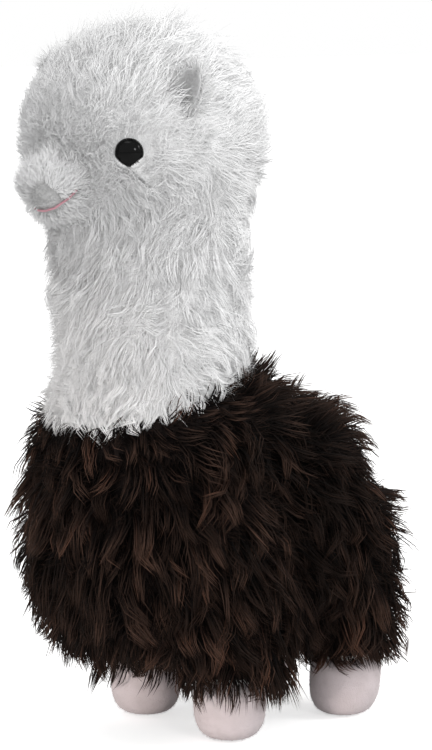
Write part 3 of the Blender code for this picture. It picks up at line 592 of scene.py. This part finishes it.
def add_undercoat(names, cover, count, seed, length, width, slot, look, softness, shades, weight=None):
    """Dense short straight pile below the locks, which keeps the plush soft and closed."""
    roots, normals = scatter(cover, FILLING, count, seed, weight)
    clear = distances(roots, MUZZLE_TREE) > UNDERCOAT_OFF_MUZZLE
    clear &= distances(roots, EAR_TREE) > UNDERCOAT_OFF_EARS
    clear &= near_eyes(roots, EYE_CLEARANCE)[:, 0] == 0
    roots, normals = roots[clear], normals[clear]
    count = len(roots)
    chance = np.random.default_rng(seed + 1)
    way = normals + drift(roots, 0.016, seed + 2) * 0.35
    way = way + chance.normal(size=roots.shape) * 0.30 - UP * 0.25
    reach = chance.uniform(*length, (count, 1)) * (1 - 0.5 * near_eyes(roots, 1.8))
    if slot == "brown_pile":
        from_seam = rising(distances(roots, NECK_TREE), *UNDERCOAT_SEAM_REACH)[:, None]
        reach = reach * (0.3 + 0.7 * from_seam)
    points = np.stack([roots - normals * 0.0003, roots + unit(way) * reach], axis=1)
    points = clear_of_eyes(trimmed(points, hem_of(roots)))
    widths = chance.uniform(*width, count)
    tones = chance.uniform(*shades, count)
    order = np.argsort(roots[:, 2])
    order = order[~crosses_eyes(points)[order]]
    for name, chosen in zip(names, np.array_split(order, len(names))):
        add_strands(
            name, points[chosen], widths[chosen], tones[chosen], look, normals[chosen], softness
        )


# The brown body: lengths, widths and reaches are in metres, WILD_LOCKS is a share

# Painted shade: a darker band on the flanks at this distance back, between the front and rear legs
PAINTED_VALLEY_SHADE_Y = 0.022
PAINTED_VALLEY_SHADE_WIDTH = 0.012
FRONT_HEM = 0.0135
REAR_HEM = 0.0245
BODY_STRANDS = 20000
BODY_LOCKS = 1700
BODY_UNDERCOAT = 12000
BODY_LENGTH = (0.020, 0.033)
BODY_WIDTH = (0.00042, 0.00080)
BODY_RISE = (0.45, 1.15)
BODY_CLOSENESS = (0.30, 0.80)
BODY_SOFTNESS = 0.35
WILD_LOCKS = 0.22
CURL = (-0.9, 0.9)
COLLAR_REACH = (0.002, 0.016)
RUFF_REACH = (0.004, 0.034)
SEAM_REACH = (0.003, 0.015)
NAPE = (NECK_MIDDLE[1] + 0.005, NECK_MIDDLE[1] + 0.035)
# Heights between which the pile lies flat, behind and low in front
REAR_FROM = (0.060, 0.075)
REAR_TO = (0.128, 0.108)
FRONT_FROM = (0.034, 0.050)
FRONT_TO = (0.090, 0.062)
# How far back the pile on top begins to stand
BACK_FROM = (-0.010, 0.020)
# Places over which the brown gets paler: low down, and by painted light on top and behind
PALE_LOW = (0.075, 0.035)
PAINTED_LIGHT_TOP = (0.110, 0.150)
PAINTED_LIGHT_BEHIND = (0.010, 0.050)


def body_flow(roots, normals):
    """Which way brown pile lies: down and a little back, and straight back along the top."""
    up = np.maximum(normals[:, 2:], 0)
    down = along_surface(np.broadcast_to(-UP, roots.shape), normals)
    back = along_surface(np.broadcast_to(BACKWARDS, roots.shape), normals)
    return along_surface(down * (1 - up) + back * (0.15 + up) + drift(roots, 0.060, 3) * 0.35, normals)


def hem_of(roots):
    """The level that the pile hangs down to: low over the front feet, higher over the rear ones."""
    low = np.interp(roots[:, 1], (0.015, 0.045), (FRONT_HEM, REAR_HEM))[:, None]
    return low + drift(roots, 0.020, 9)[:, :1] * 0.002


def trimmed(points, level):
    """Shortens the strands whose tips hang below a level."""
    drop = points[:, 0, 2:] - points[:, -1, 2:]
    allowed = points[:, 0, 2:] - level
    share = np.where(drop > np.maximum(allowed, 0), allowed / np.maximum(drop, 1e-6), 1.0)
    share = np.clip(share, 0.2, 1.0)[:, None]
    return points[:, :1] + (points - points[:, :1]) * share


def add_body(strands=BODY_STRANDS, locks=BODY_LOCKS):
    cover = add_piece(
        "body_cover", without_tufts("body_skin"), BROWN_BACKING, "brown_pile", "body_skin"
    )
    subdivided(cover, 1)
    add_undercoat(
        ("body_undercoat",),
        cover,
        BODY_UNDERCOAT,
        seed=15,
        length=(0.008, 0.016),
        width=(0.0005, 0.0009),
        slot="brown_pile",
        look=BROWN_STRANDS,
        softness=BODY_SOFTNESS,
        shades=(0.0, 0.6),
    )
    roots, normals = scatter(cover, FILLING, strands, seed=11)
    chance = np.random.default_rng(12)
    centres, lock = lock_of_each(roots, locks, 13)
    per_lock = lock_draws(chance, locks, lock)

    # Which way the strands lie, how far they rise and how long they are
    flow = body_flow(roots, normals)
    below = rising(-normals[:, 2:], 0.65, 0.9)
    wild = (chance.uniform(size=(locks, 1)) < WILD_LOCKS)[lock]
    rise = per_lock(*BODY_RISE) + wild * 0.8
    length = per_lock(*BODY_LENGTH) * chance.uniform(0.75, 1.08, (strands, 1)) * (1 - 0.6 * below)
    sway = drift(roots, 0.030, 5) * 0.25 + chance.normal(size=(locks, 3))[lock] * 0.22
    sway = sway + chance.normal(size=(strands, 3)) * 0.10

    # At the neck's seam: a flat collar below the white pile, a standing ruff elsewhere
    from_seam = distances(roots, NECK_TREE)[:, None]
    over = white_over(roots)
    collar = (1 - rising(from_seam, *COLLAR_REACH)) * over
    collar = collar * (chance.uniform(size=(locks, 1)) < 0.8)[lock]
    ruff = (1 - rising(from_seam, *RUFF_REACH)) * (1 - over)
    ruff = ruff * (0.50 + 0.50 * rising(roots[:, 1:2], *NAPE))
    from_neck = along_surface((roots - NECK_MIDDLE) * (1, 1, 0), normals)
    flow = unit(flow * (1 - collar) + (from_neck - UP) * collar)
    flow = unit(flow * (1 - ruff) + UP * ruff)

    # Flatter behind and low in front, standing on the back
    rear = rising(normals[:, 1:2], 0.1, 0.6) * rising(roots[:, 2:], *REAR_FROM)
    rear = rear * rising(roots[:, 2:], *REAR_TO)
    low_front = rising(-normals[:, 1:2], 0.0, 0.5) * rising(roots[:, 2:], *FRONT_TO)
    low_front = low_front * rising(roots[:, 2:], *FRONT_FROM) * 0.8
    flat = np.maximum(rear * (1 - ruff), low_front)
    on_top = rising(normals[:, 2:], 0.35, 0.75) * rising(roots[:, 1:2], *BACK_FROM)
    rise = rise * (1 - 0.65 * collar) * (1 - 0.85 * flat) + 0.6 * ruff + 0.9 * on_top
    length = length * (1 - 0.40 * collar) * (1 - 0.25 * flat - 0.20 * rear)
    length = length * (1 - 0.55 * (1 - rising(from_seam, *SEAM_REACH)) * (1 - over))
    curl = per_lock(*CURL)
    points = grown(roots, normals, flow, rise, length, joints=4, droop=0.35, sway=sway, curl=curl)
    points = gathered(points, centres, lock, per_lock(*BODY_CLOSENESS)[:, :, None])
    points = trimmed(points, hem_of(roots) + chance.normal(size=(strands, 1)) * 0.0015)

    # Shades: painted shade in the valley between the legs, paler low down, painted light on top and
    # behind
    width = chance.uniform(*BODY_WIDTH, strands)
    painted_valley_shade = np.exp(-(((roots[:, 1] - PAINTED_VALLEY_SHADE_Y) / PAINTED_VALLEY_SHADE_WIDTH) ** 2))
    painted_valley_shade = painted_valley_shade * rising(np.abs(normals[:, 0]), 0.3, 0.8)
    low = rising(roots[:, 2], *PALE_LOW)
    high = rising(roots[:, 2], *PAINTED_LIGHT_TOP)
    behind = rising(roots[:, 1], *PAINTED_LIGHT_BEHIND)
    shades = per_lock(0.1, 0.85)[:, 0] + chance.normal(size=strands) * 0.14 - painted_valley_shade * 0.35
    shades = shades + drift(roots, 0.090, 8)[:, 0] * 0.12 + 0.20 * low - 0.06
    # Painted light: paler on top and on the rear flank, where the lamps fall
    shades = shades + 0.16 * high + 0.16 * behind - 0.08
    shades = np.clip(shades, 0, 1)
    order = np.argsort(roots[:, 1])
    for part, chosen in zip(("front", "middle", "rear"), np.array_split(order, 3)):
        add_strands(
            f"body_pile_{part}", points[chosen], width[chosen], shades[chosen], BROWN_STRANDS,
            normals[chosen], BODY_SOFTNESS,
        )


# The white neck and head

WHITE_STRAND_COUNT = 23000
WHITE_LOCKS = 1700
WHITE_UNDERCOAT = 42000
WHITE_WIDTH = (0.00024, 0.00040)
WHITE_UNDERCOAT_LENGTH = (0.0055, 0.0100)
NECK_LENGTH = 0.0105
WHITE_SOFTNESS = 0.90
WHITE_OFF_EYES = 1.03
WHITE_OFF_MUZZLE = 0.0008
WHITE_OFF_EARS = 0.0012
# Thicker pile this near the muzzle's middle
THICK_REACH = (0.020, 0.045)
# The head begins between these shares of the cover's height
HEAD_FROM = (0.52, 0.70)
FACE_REACH = (0.001, 0.024)
CROWN_FROM = (0.280, 0.305)
BEHIND_FROM = (NECK_MIDDLE[1] - 0.005, NECK_MIDDLE[1] + 0.030)
HEM_REACH = (0.003, 0.016)
# The pile is combed and short out to this many radii from an eye's middle
EYE_REACH = 2.2


def head_flow(roots, normals, on_head, nose):
    from_nose = along_surface(roots - nose, normals)
    down = along_surface(np.broadcast_to(-UP, roots.shape), normals)
    swirl = drift(roots, 0.050, 21) * (0.75 - 0.35 * on_head)
    return along_surface(from_nose * on_head + down * (1 - on_head) + swirl, normals)


def add_neck_and_head(strands=WHITE_STRAND_COUNT, locks=WHITE_LOCKS):
    cover = add_piece(
        "neck_and_head_cover",
        without_tufts("neck_and_head_skin"),
        WHITE_BACKING,
        "white_pile",
        "neck_and_head_skin",
    )
    subdivided(cover, 1)
    nose = middle_of("muzzle")

    def thicker(places):
        return 1 + 0.9 * (1 - rising(np.linalg.norm(places - nose, axis=1), *THICK_REACH))

    add_undercoat(
        ("neck_undercoat", "head_undercoat"),
        cover,
        WHITE_UNDERCOAT,
        seed=35,
        length=WHITE_UNDERCOAT_LENGTH,
        width=WHITE_WIDTH,
        slot="white_pile",
        look=WHITE_STRANDS,
        softness=0.92,
        shades=(0.3, 1.0),
        weight=thicker,
    )
    roots, normals = scatter(cover, FILLING, strands, seed=31, weight=thicker)
    kept = near_eyes(roots, WHITE_OFF_EYES)[:, 0] == 0
    muzzle = distances(roots, MUZZLE_TREE)
    kept &= muzzle > WHITE_OFF_MUZZLE
    kept &= distances(roots, EAR_TREE) > WHITE_OFF_EARS
    roots, normals, muzzle = roots[kept], normals[kept], muzzle[kept][:, None]
    strands = len(roots)
    chance = np.random.default_rng(32)
    centres, lock = lock_of_each(roots, locks, 33)
    per_lock = lock_draws(chance, locks, lock)

    # Shorter and straighter on the head, longer at the crown and behind
    low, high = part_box("neck_and_head_skin")
    level = (roots[:, 2:] - low.z) / (high.z - low.z)
    on_head = rising(level, *HEAD_FROM)
    flow = head_flow(roots, normals, on_head, nose)
    face = rising(muzzle, *FACE_REACH)
    crown = rising(roots[:, 2:], *CROWN_FROM)
    behind = rising(roots[:, 1:2], *BEHIND_FROM)
    at_hem = 1 - rising(distances(roots, BODY_TREE), *HEM_REACH)[:, None]
    over = white_over(roots)
    length = (NECK_LENGTH + 0.0030 * (1 - on_head) + 0.0050 * crown) * (0.90 + 0.10 * face)
    length = length * (1 + 0.15 * behind) * (1 - 0.45 * at_hem * (1 - over))
    length = length * per_lock(0.8, 1.25) * chance.uniform(0.8, 1.1, (strands, 1))
    rise = (0.65 + 1.15 * on_head + 0.5 * behind) * (0.9 + 0.1 * face) * per_lock(0.7, 1.3)

    # Around the eyes the pile lies away from them
    for place, _, radius, _ in EYES.values():
        gap = np.linalg.norm(roots - place, axis=1, keepdims=True)
        near = 1 - rising(gap, radius, radius * EYE_REACH)
        away = along_surface(roots - place, normals)
        flow = unit(flow * (1 - 0.6 * near) + away * 0.6 * near)
    length = length * (1 - 0.5 * near_eyes(roots, EYE_REACH))
    sway = drift(roots, 0.022, 25) * 0.25 + chance.normal(size=(locks, 3))[lock] * 0.22
    sway = sway + chance.normal(size=(strands, 3)) * (0.10 + 0.20 * on_head)
    curl = per_lock(*CURL)
    points = grown(roots, normals, flow, rise, length, joints=3, droop=0.12, sway=sway, curl=curl)
    closeness = per_lock(0.20, 0.55) * (1 - 0.6 * on_head) + 0.3 * at_hem
    points = clear_of_eyes(gathered(points, centres, lock, closeness[:, :, None]))
    width = chance.uniform(*WHITE_WIDTH, strands)
    shades = np.clip(per_lock(0.2, 0.9)[:, 0] + chance.normal(size=strands) * 0.15, 0, 1)
    order = np.argsort(roots[:, 2])
    order = order[~crosses_eyes(points)[order]]
    for part, chosen in zip(("neck", "head"), np.array_split(order, 2)):
        add_strands(
            f"{part}_pile", points[chosen], width[chosen], shades[chosen], WHITE_STRANDS,
            normals[chosen], WHITE_SOFTNESS,
        )


# Short plush

FUZZ_SOFTNESS = 0.8
FINE_WIDTH = 0.00022
FOOT_FUZZ_COUNT = 2200
FOOT_FUZZ_LENGTH = 0.0010
SOLE_HEIGHT = 0.0012
MUZZLE_FUZZ_COUNT = 4500
MUZZLE_FUZZ_LENGTH = 0.0018
MUZZLE_STRANDS = 7500
MUZZLE_RISE = 2.2
TAIL_STRANDS = 700
TAIL_RISE = 0.6


def add_fuzz(name, piece, inside, count, length, width, look, seed, down=0.3, keep=None):
    """Very short strands that soften a plush piece's outline."""
    roots, normals = scatter(piece, inside, count, seed)
    if keep is not None:
        chosen = keep(roots)
        roots, normals = roots[chosen], normals[chosen]
    chance = np.random.default_rng(seed + 1)
    hanging = np.broadcast_to(-UP, roots.shape) + chance.normal(size=roots.shape) * 0.6
    lean = along_surface(hanging, normals)
    way = unit(normals + lean * down + chance.normal(size=roots.shape) * 0.25)
    reach = length * chance.uniform(0.6, 1.2, (len(roots), 1))
    points = np.stack([roots - normals * 0.0002, roots + way * reach], axis=1)
    shades = chance.uniform(size=len(roots))
    widths = np.full(len(roots), width)
    add_strands(name, points, widths, shades, look, normals, FUZZ_SOFTNESS)


def add_feet():
    for place in ("front_left", "front_right", "rear_left", "rear_right"):
        node = f"foot_{place}"
        bm = welded(node)
        bmesh.ops.dissolve_limit(bm, angle_limit=math.radians(1), verts=bm.verts, edges=bm.edges)
        foot = subdivided(add_piece(f"{node}_plush", bm, FOOT_PLUSH, "foot_pile", node), 2)
        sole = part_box(node)[0].z + SOLE_HEIGHT
        add_fuzz(
            f"{node}_fuzz", foot, FILLING, FOOT_FUZZ_COUNT, FOOT_FUZZ_LENGTH, FINE_WIDTH, FOOT_FUZZ,
            seed=41, keep=lambda roots: roots[:, 2] > sole,
        )


MUZZLE_DROOP = math.radians(23)
MUZZLE_WAY = np.array((0.0, -math.cos(MUZZLE_DROOP), -math.sin(MUZZLE_DROOP)))
NOSE_TURN = math.radians(22)
NOSE_WAY = unit(MUZZLE_WAY + np.array((math.tan(NOSE_TURN), 0.0, 0.0)))
NOSE_RADIUS = 0.0072
THREAD_CLEARANCE = 0.0012
# Pile may cover the smile this far to each side of its middle
HIDDEN_THREAD = 0.0050


def add_muzzle():
    """The muzzle, its round bare nose spot and the pile that lies away from the spot."""
    muzzle = subdivided(
        add_piece("muzzle_plush", welded("muzzle"), MUZZLE_PLUSH, "muzzle_pile", "muzzle"), 1
    )
    add_fuzz(
        "muzzle_fuzz", muzzle, FILLING, MUZZLE_FUZZ_COUNT, MUZZLE_FUZZ_LENGTH, FINE_WIDTH,
        MUZZLE_FUZZ, seed=51,
    )
    middle = middle_of("muzzle")
    roots, normals = scatter(muzzle, FILLING, MUZZLE_STRANDS, seed=53)
    chance = np.random.default_rng(54)
    nose = roots[np.argmax((roots - middle) @ NOSE_WAY)]
    thread = distances(roots, tree_of("mouth_stitching"))
    back = np.linalg.norm(roots - nose, axis=1) - NOSE_RADIUS
    back = back + drift(roots, 0.008, 55)[:, 0] * 0.0010
    thread = np.where(np.abs(roots[:, 0] - middle[0]) < HIDDEN_THREAD, 1.0, thread)
    kept = (back > 0) & (thread > THREAD_CLEARANCE)
    roots, normals, back, thread = roots[kept], normals[kept], back[kept, None], thread[kept, None]
    count = len(roots)
    flow = along_surface(unit(roots - nose) - MUZZLE_WAY * 0.3, normals)
    flow = along_surface(flow + chance.normal(size=roots.shape) * 0.35, normals)
    length = (0.0055 + 0.0050 * rising(back, 0, 0.006)) * rising(thread, -0.003, 0.004)
    length = length * chance.uniform(0.7, 1.15, (count, 1))
    sway = drift(roots, 0.012, 56) * 0.3 + chance.normal(size=roots.shape) * 0.20
    points = grown(roots, normals, flow, MUZZLE_RISE, length, joints=3, droop=0.0, sway=sway)
    away = ~crosses_eyes(points)
    points, normals, count = points[away], normals[away], int(away.sum())
    width = chance.uniform(0.00024, 0.00042, count)
    shades = chance.uniform(0.2, 1, count)
    add_strands(
        "muzzle_pile_strands", points, width, shades, WHITE_STRANDS, normals,
        WHITE_SOFTNESS,
    )


def add_tail():
    tail = subdivided(
        add_piece("tail_cover", welded("tail"), BROWN_BACKING, "brown_pile", "tail"), 1
    )
    count = TAIL_STRANDS
    roots, normals = scatter(tail, None, count, seed=61)
    chance = np.random.default_rng(62)
    flow = along_surface(np.broadcast_to(-UP, roots.shape), normals)
    length = chance.uniform(0.010, 0.017, (count, 1))
    sway = chance.normal(size=(count, 3)) * 0.2
    points = grown(roots, normals, flow, TAIL_RISE, length, joints=5, droop=0.4, sway=sway)
    width = chance.uniform(0.0006, 0.0011, count)
    shades = chance.uniform(0.1, 0.8, count)
    add_strands("tail_pile", points, width, shades, BROWN_STRANDS)


# Ears and eyes

EAR_FUZZ_LENGTH = {"left": 0.0062, "right": 0.0100}
EAR_FUZZ_COUNT = 2800
EAR_FUZZ_WIDTH = 0.00030
EAR_NAP_COUNT = 1600
EAR_NAP_LENGTH = 0.0036
EAR_NAP_WIDTH = 0.00028
LINING_CLEARANCE = 0.0002
EYE_SIDES = 40
EYE_RINGS = 9
EYE_BULGE = 1.05
LID_STRANDS = 300


def add_ears():
    for side, reach in EAR_FUZZ_LENGTH.items():
        node = f"ear_{side}"
        back = subdivided(
            add_piece(f"{node}_back", welded(node), WHITE_BACKING, "white_pile", node), 1
        )
        lining = subdivided(
            add_piece(
                f"{node}_cup", welded(f"{node}_lining"), EAR_CLOTH, "ear_lining", f"{node}_lining"
            ),
            1,
        )
        tree = tree_of(f"{node}_lining")
        add_fuzz(
            f"{node}_fuzz", back, None, EAR_FUZZ_COUNT, reach, EAR_FUZZ_WIDTH, WHITE_STRANDS,
            seed=71, down=-0.6,
            keep=lambda roots: distances(roots, tree) > LINING_CLEARANCE,
        )
        add_fuzz(
            f"{node}_nap", lining, None, EAR_NAP_COUNT, EAR_NAP_LENGTH, EAR_NAP_WIDTH,
            WHITE_STRANDS, seed=75,
        )


def add_eyes():
    black, _, _ = principled("black_eye", grey(0.0012), roughness=0.05, specular=0.13)
    for node, (place, axis, radius, dome) in EYES.items():
        bm = bmesh.new()
        turned = Vector(axis).to_track_quat("Z", "Y").to_matrix().to_4x4()
        axes = Matrix.Translation(Vector(place)) @ turned
        profile = [(radius * 0.55, -0.0010), (radius * 0.97, -0.0006)]
        for step in range(EYE_RINGS):
            angle = math.pi / 2 * (1 - step / EYE_RINGS)
            profile.append((radius * math.sin(angle), dome * math.cos(angle) * EYE_BULGE))
        rings = []
        for wide, high in profile:
            ring = []
            for side in range(EYE_SIDES):
                turn = 2 * math.pi * side / EYE_SIDES
                corner = Vector((wide * math.cos(turn), wide * math.sin(turn), high))
                ring.append(bm.verts.new(axes @ corner))
            rings.append(ring)
        for lower, upper in zip(rings, rings[1:]):
            for side in range(EYE_SIDES):
                after = (side + 1) % EYE_SIDES
                bm.faces.new((lower[side], lower[after], upper[after], upper[side]))
        bm.faces.new(list(reversed(rings[0])))
        apex = bm.verts.new(axes @ Vector((0, 0, dome * EYE_BULGE)))
        for side in range(EYE_SIDES):
            bm.faces.new((rings[-1][side], rings[-1][(side + 1) % EYE_SIDES], apex))
        add_piece(f"{node}_dome", bm, black, "eye_plastic", node)


def add_lower_lids(count=LID_STRANDS):
    """Short white pile over each eye's lower left and lower right, so that it narrows downwards."""
    for node, (place, axis, radius, dome) in EYES.items():
        chance = np.random.default_rng(81)
        up = unit(UP - axis * (UP @ axis))
        aside = np.cross(up, axis)
        turn = chance.uniform(0.15, 1.45, (count, 1)) * chance.choice((-1, 1), (count, 1))
        outward = aside * np.sin(turn) - up * np.cos(turn)
        reach = 0.80 / np.cos(np.abs(turn) - 0.65) * chance.uniform(0.96, 1.12, (count, 1))
        reach = np.minimum(reach, 1.0)
        height = dome * EYE_BULGE * np.sqrt(1 - reach**2)
        root = place + outward * radius * chance.uniform(1.05, 1.35, (count, 1)) - axis * 0.0012
        bend = place + outward * radius * 1.03 + axis * (0.5 * height + 0.0004)
        tip = place + outward * radius * reach + axis * (height + 0.0003)
        points = np.stack([root, bend, tip], axis=1)
        facing = unit(axis + outward * 0.3)
        width = chance.uniform(0.00030, 0.00045, count)
        shades = chance.uniform(0.3, 1, count)
        add_strands(
            f"{node}_lid_pile", points, width, shades, WHITE_STRANDS, facing,
            WHITE_SOFTNESS,
        )


def dress_hidden_and_thread():
    pink, tree, shader = principled("pink_thread", (0.55, 0.27, 0.31), roughness=0.75, specular=0.3)
    coordinates = add_node(tree, "ShaderNodeTexCoord")
    twist = add_node(tree, "ShaderNodeTexWave")
    twist.inputs["Scale"].default_value = THREAD_TWIST
    tree.links.new(coordinates.outputs["Object"], twist.inputs["Vector"])
    stops = [(0.2, (0.42, 0.19, 0.23)), (0.8, (0.60, 0.33, 0.37))]
    tree.links.new(add_ramp(tree, twist.outputs["Fac"], stops), shader.inputs["Base Color"])
    fibre = cloth_material(
        "filling_fibre", dark=(0.78, 0.78, 0.77), pale=(0.86, 0.86, 0.85), scale=60, bump=0.8
    )
    plastic, _, _ = principled("washer_plastic", (0.75, 0.75, 0.74), roughness=0.4)
    for node, look in (
        ("mouth_stitching", pink),
        ("stuffing", fibre),
        ("eye_left_washer", plastic),
        ("eye_right_washer", plastic),
    ):
        NODES[node].data.materials.clear()
        NODES[node].data.materials.append(look)


# Studio

FLOOR_SIZE = 6
FLOOR_GAP = 0.0002
FLOOR_LIFT = 0.60
WORLD_LEVEL = 0.81
LAMP_AIM = (0, 0, 0.15)
DISK_LAMPS = (
    ("key", (1.25, 0.95, 1.05), 0.6, 10.5),
    ("glint", (1.62, -0.34, 0.68), 0.36, 5),
    ("top", (0.05, -0.35, 1.55), 1.0, 6.5),
)
LOW_LAMP_POWER = 46
LOW_LAMP_COLOUR = (1.0, 0.93, 0.88)
LOW_LAMP_PLACE = (0.20, -1.25, 0.10)
LOW_LAMP_AIM = (-0.01, 0, 0.01)
LOW_LAMP_SPREAD = math.radians(15)


def add_floor():
    """A pale floor that keeps the shadow and is lifted to white for the camera."""
    bm = bmesh.new()
    bmesh.ops.create_grid(bm, x_segments=2, y_segments=2, size=FLOOR_SIZE)
    mesh = bpy.data.meshes.new("floor")
    bm.to_mesh(mesh)
    bm.free()
    floor = bpy.data.objects.new("floor", mesh)
    bpy.context.scene.collection.objects.link(floor)
    floor.location.z = CAD_BOX[0].z - FLOOR_GAP
    look, tree, shader = principled("floor_white", grey(0.86), roughness=0.9, specular=0.1)
    path = add_node(tree, "ShaderNodeLightPath")
    lift = add_node(tree, "ShaderNodeMath", operation="MULTIPLY")
    lift.inputs[1].default_value = FLOOR_LIFT
    tree.links.new(path.outputs["Is Camera Ray"], lift.inputs[0])
    shader.inputs["Emission Color"].default_value = (1, 1, 1, 1)
    tree.links.new(lift.outputs[0], shader.inputs["Emission Strength"])
    mesh.materials.append(look)


def add_world():
    """White for the camera and in reflections, and a plain level for the light it gives."""
    world = bpy.data.worlds.new("studio")
    bpy.context.scene.world = world
    world.use_nodes = True
    tree = world.node_tree
    background = tree.nodes["Background"]
    background.inputs["Color"].default_value = (1, 1, 1, 1)
    path = add_node(tree, "ShaderNodeLightPath")
    seen = add_node(tree, "ShaderNodeMath", operation="MAXIMUM")
    tree.links.new(path.outputs["Is Camera Ray"], seen.inputs[0])
    clear = add_node(tree, "ShaderNodeMath", operation="MAXIMUM")
    tree.links.new(path.outputs["Is Glossy Ray"], clear.inputs[0])
    tree.links.new(path.outputs["Is Transmission Ray"], clear.inputs[1])
    tree.links.new(clear.outputs[0], seen.inputs[1])
    level = add_node(tree, "ShaderNodeMapRange")
    level.inputs["To Min"].default_value = WORLD_LEVEL
    level.inputs["To Max"].default_value = 1.0
    tree.links.new(seen.outputs[0], level.inputs["Value"])
    tree.links.new(level.outputs[0], background.inputs["Strength"])


def add_lamp(name, kind, place, aim, power):
    data = bpy.data.lights.new(name, kind)
    data.energy = power
    lamp = bpy.data.objects.new(name, data)
    bpy.context.scene.collection.objects.link(lamp)
    lamp.location = place
    turn_towards(lamp, aim)
    return data


def add_studio():
    add_floor()
    add_world()
    for name, place, size, power in DISK_LAMPS:
        data = add_lamp(name, "AREA", place, LAMP_AIM, power)
        data.shape = "DISK"
        data.size = size
    data = add_lamp("low", "SPOT", LOW_LAMP_PLACE, LOW_LAMP_AIM, LOW_LAMP_POWER)
    data.color = LOW_LAMP_COLOUR
    data.spot_size = LOW_LAMP_SPREAD
    data.spot_blend = 0.9
    data.shadow_soft_size = 0.12
    bpy.context.scene.view_settings.view_transform = "Standard"


add_camera()
add_body()
add_neck_and_head()
add_feet()
add_muzzle()
add_tail()
add_ears()
add_eyes()
add_lower_lids()
dress_hidden_and_thread()
add_studio()
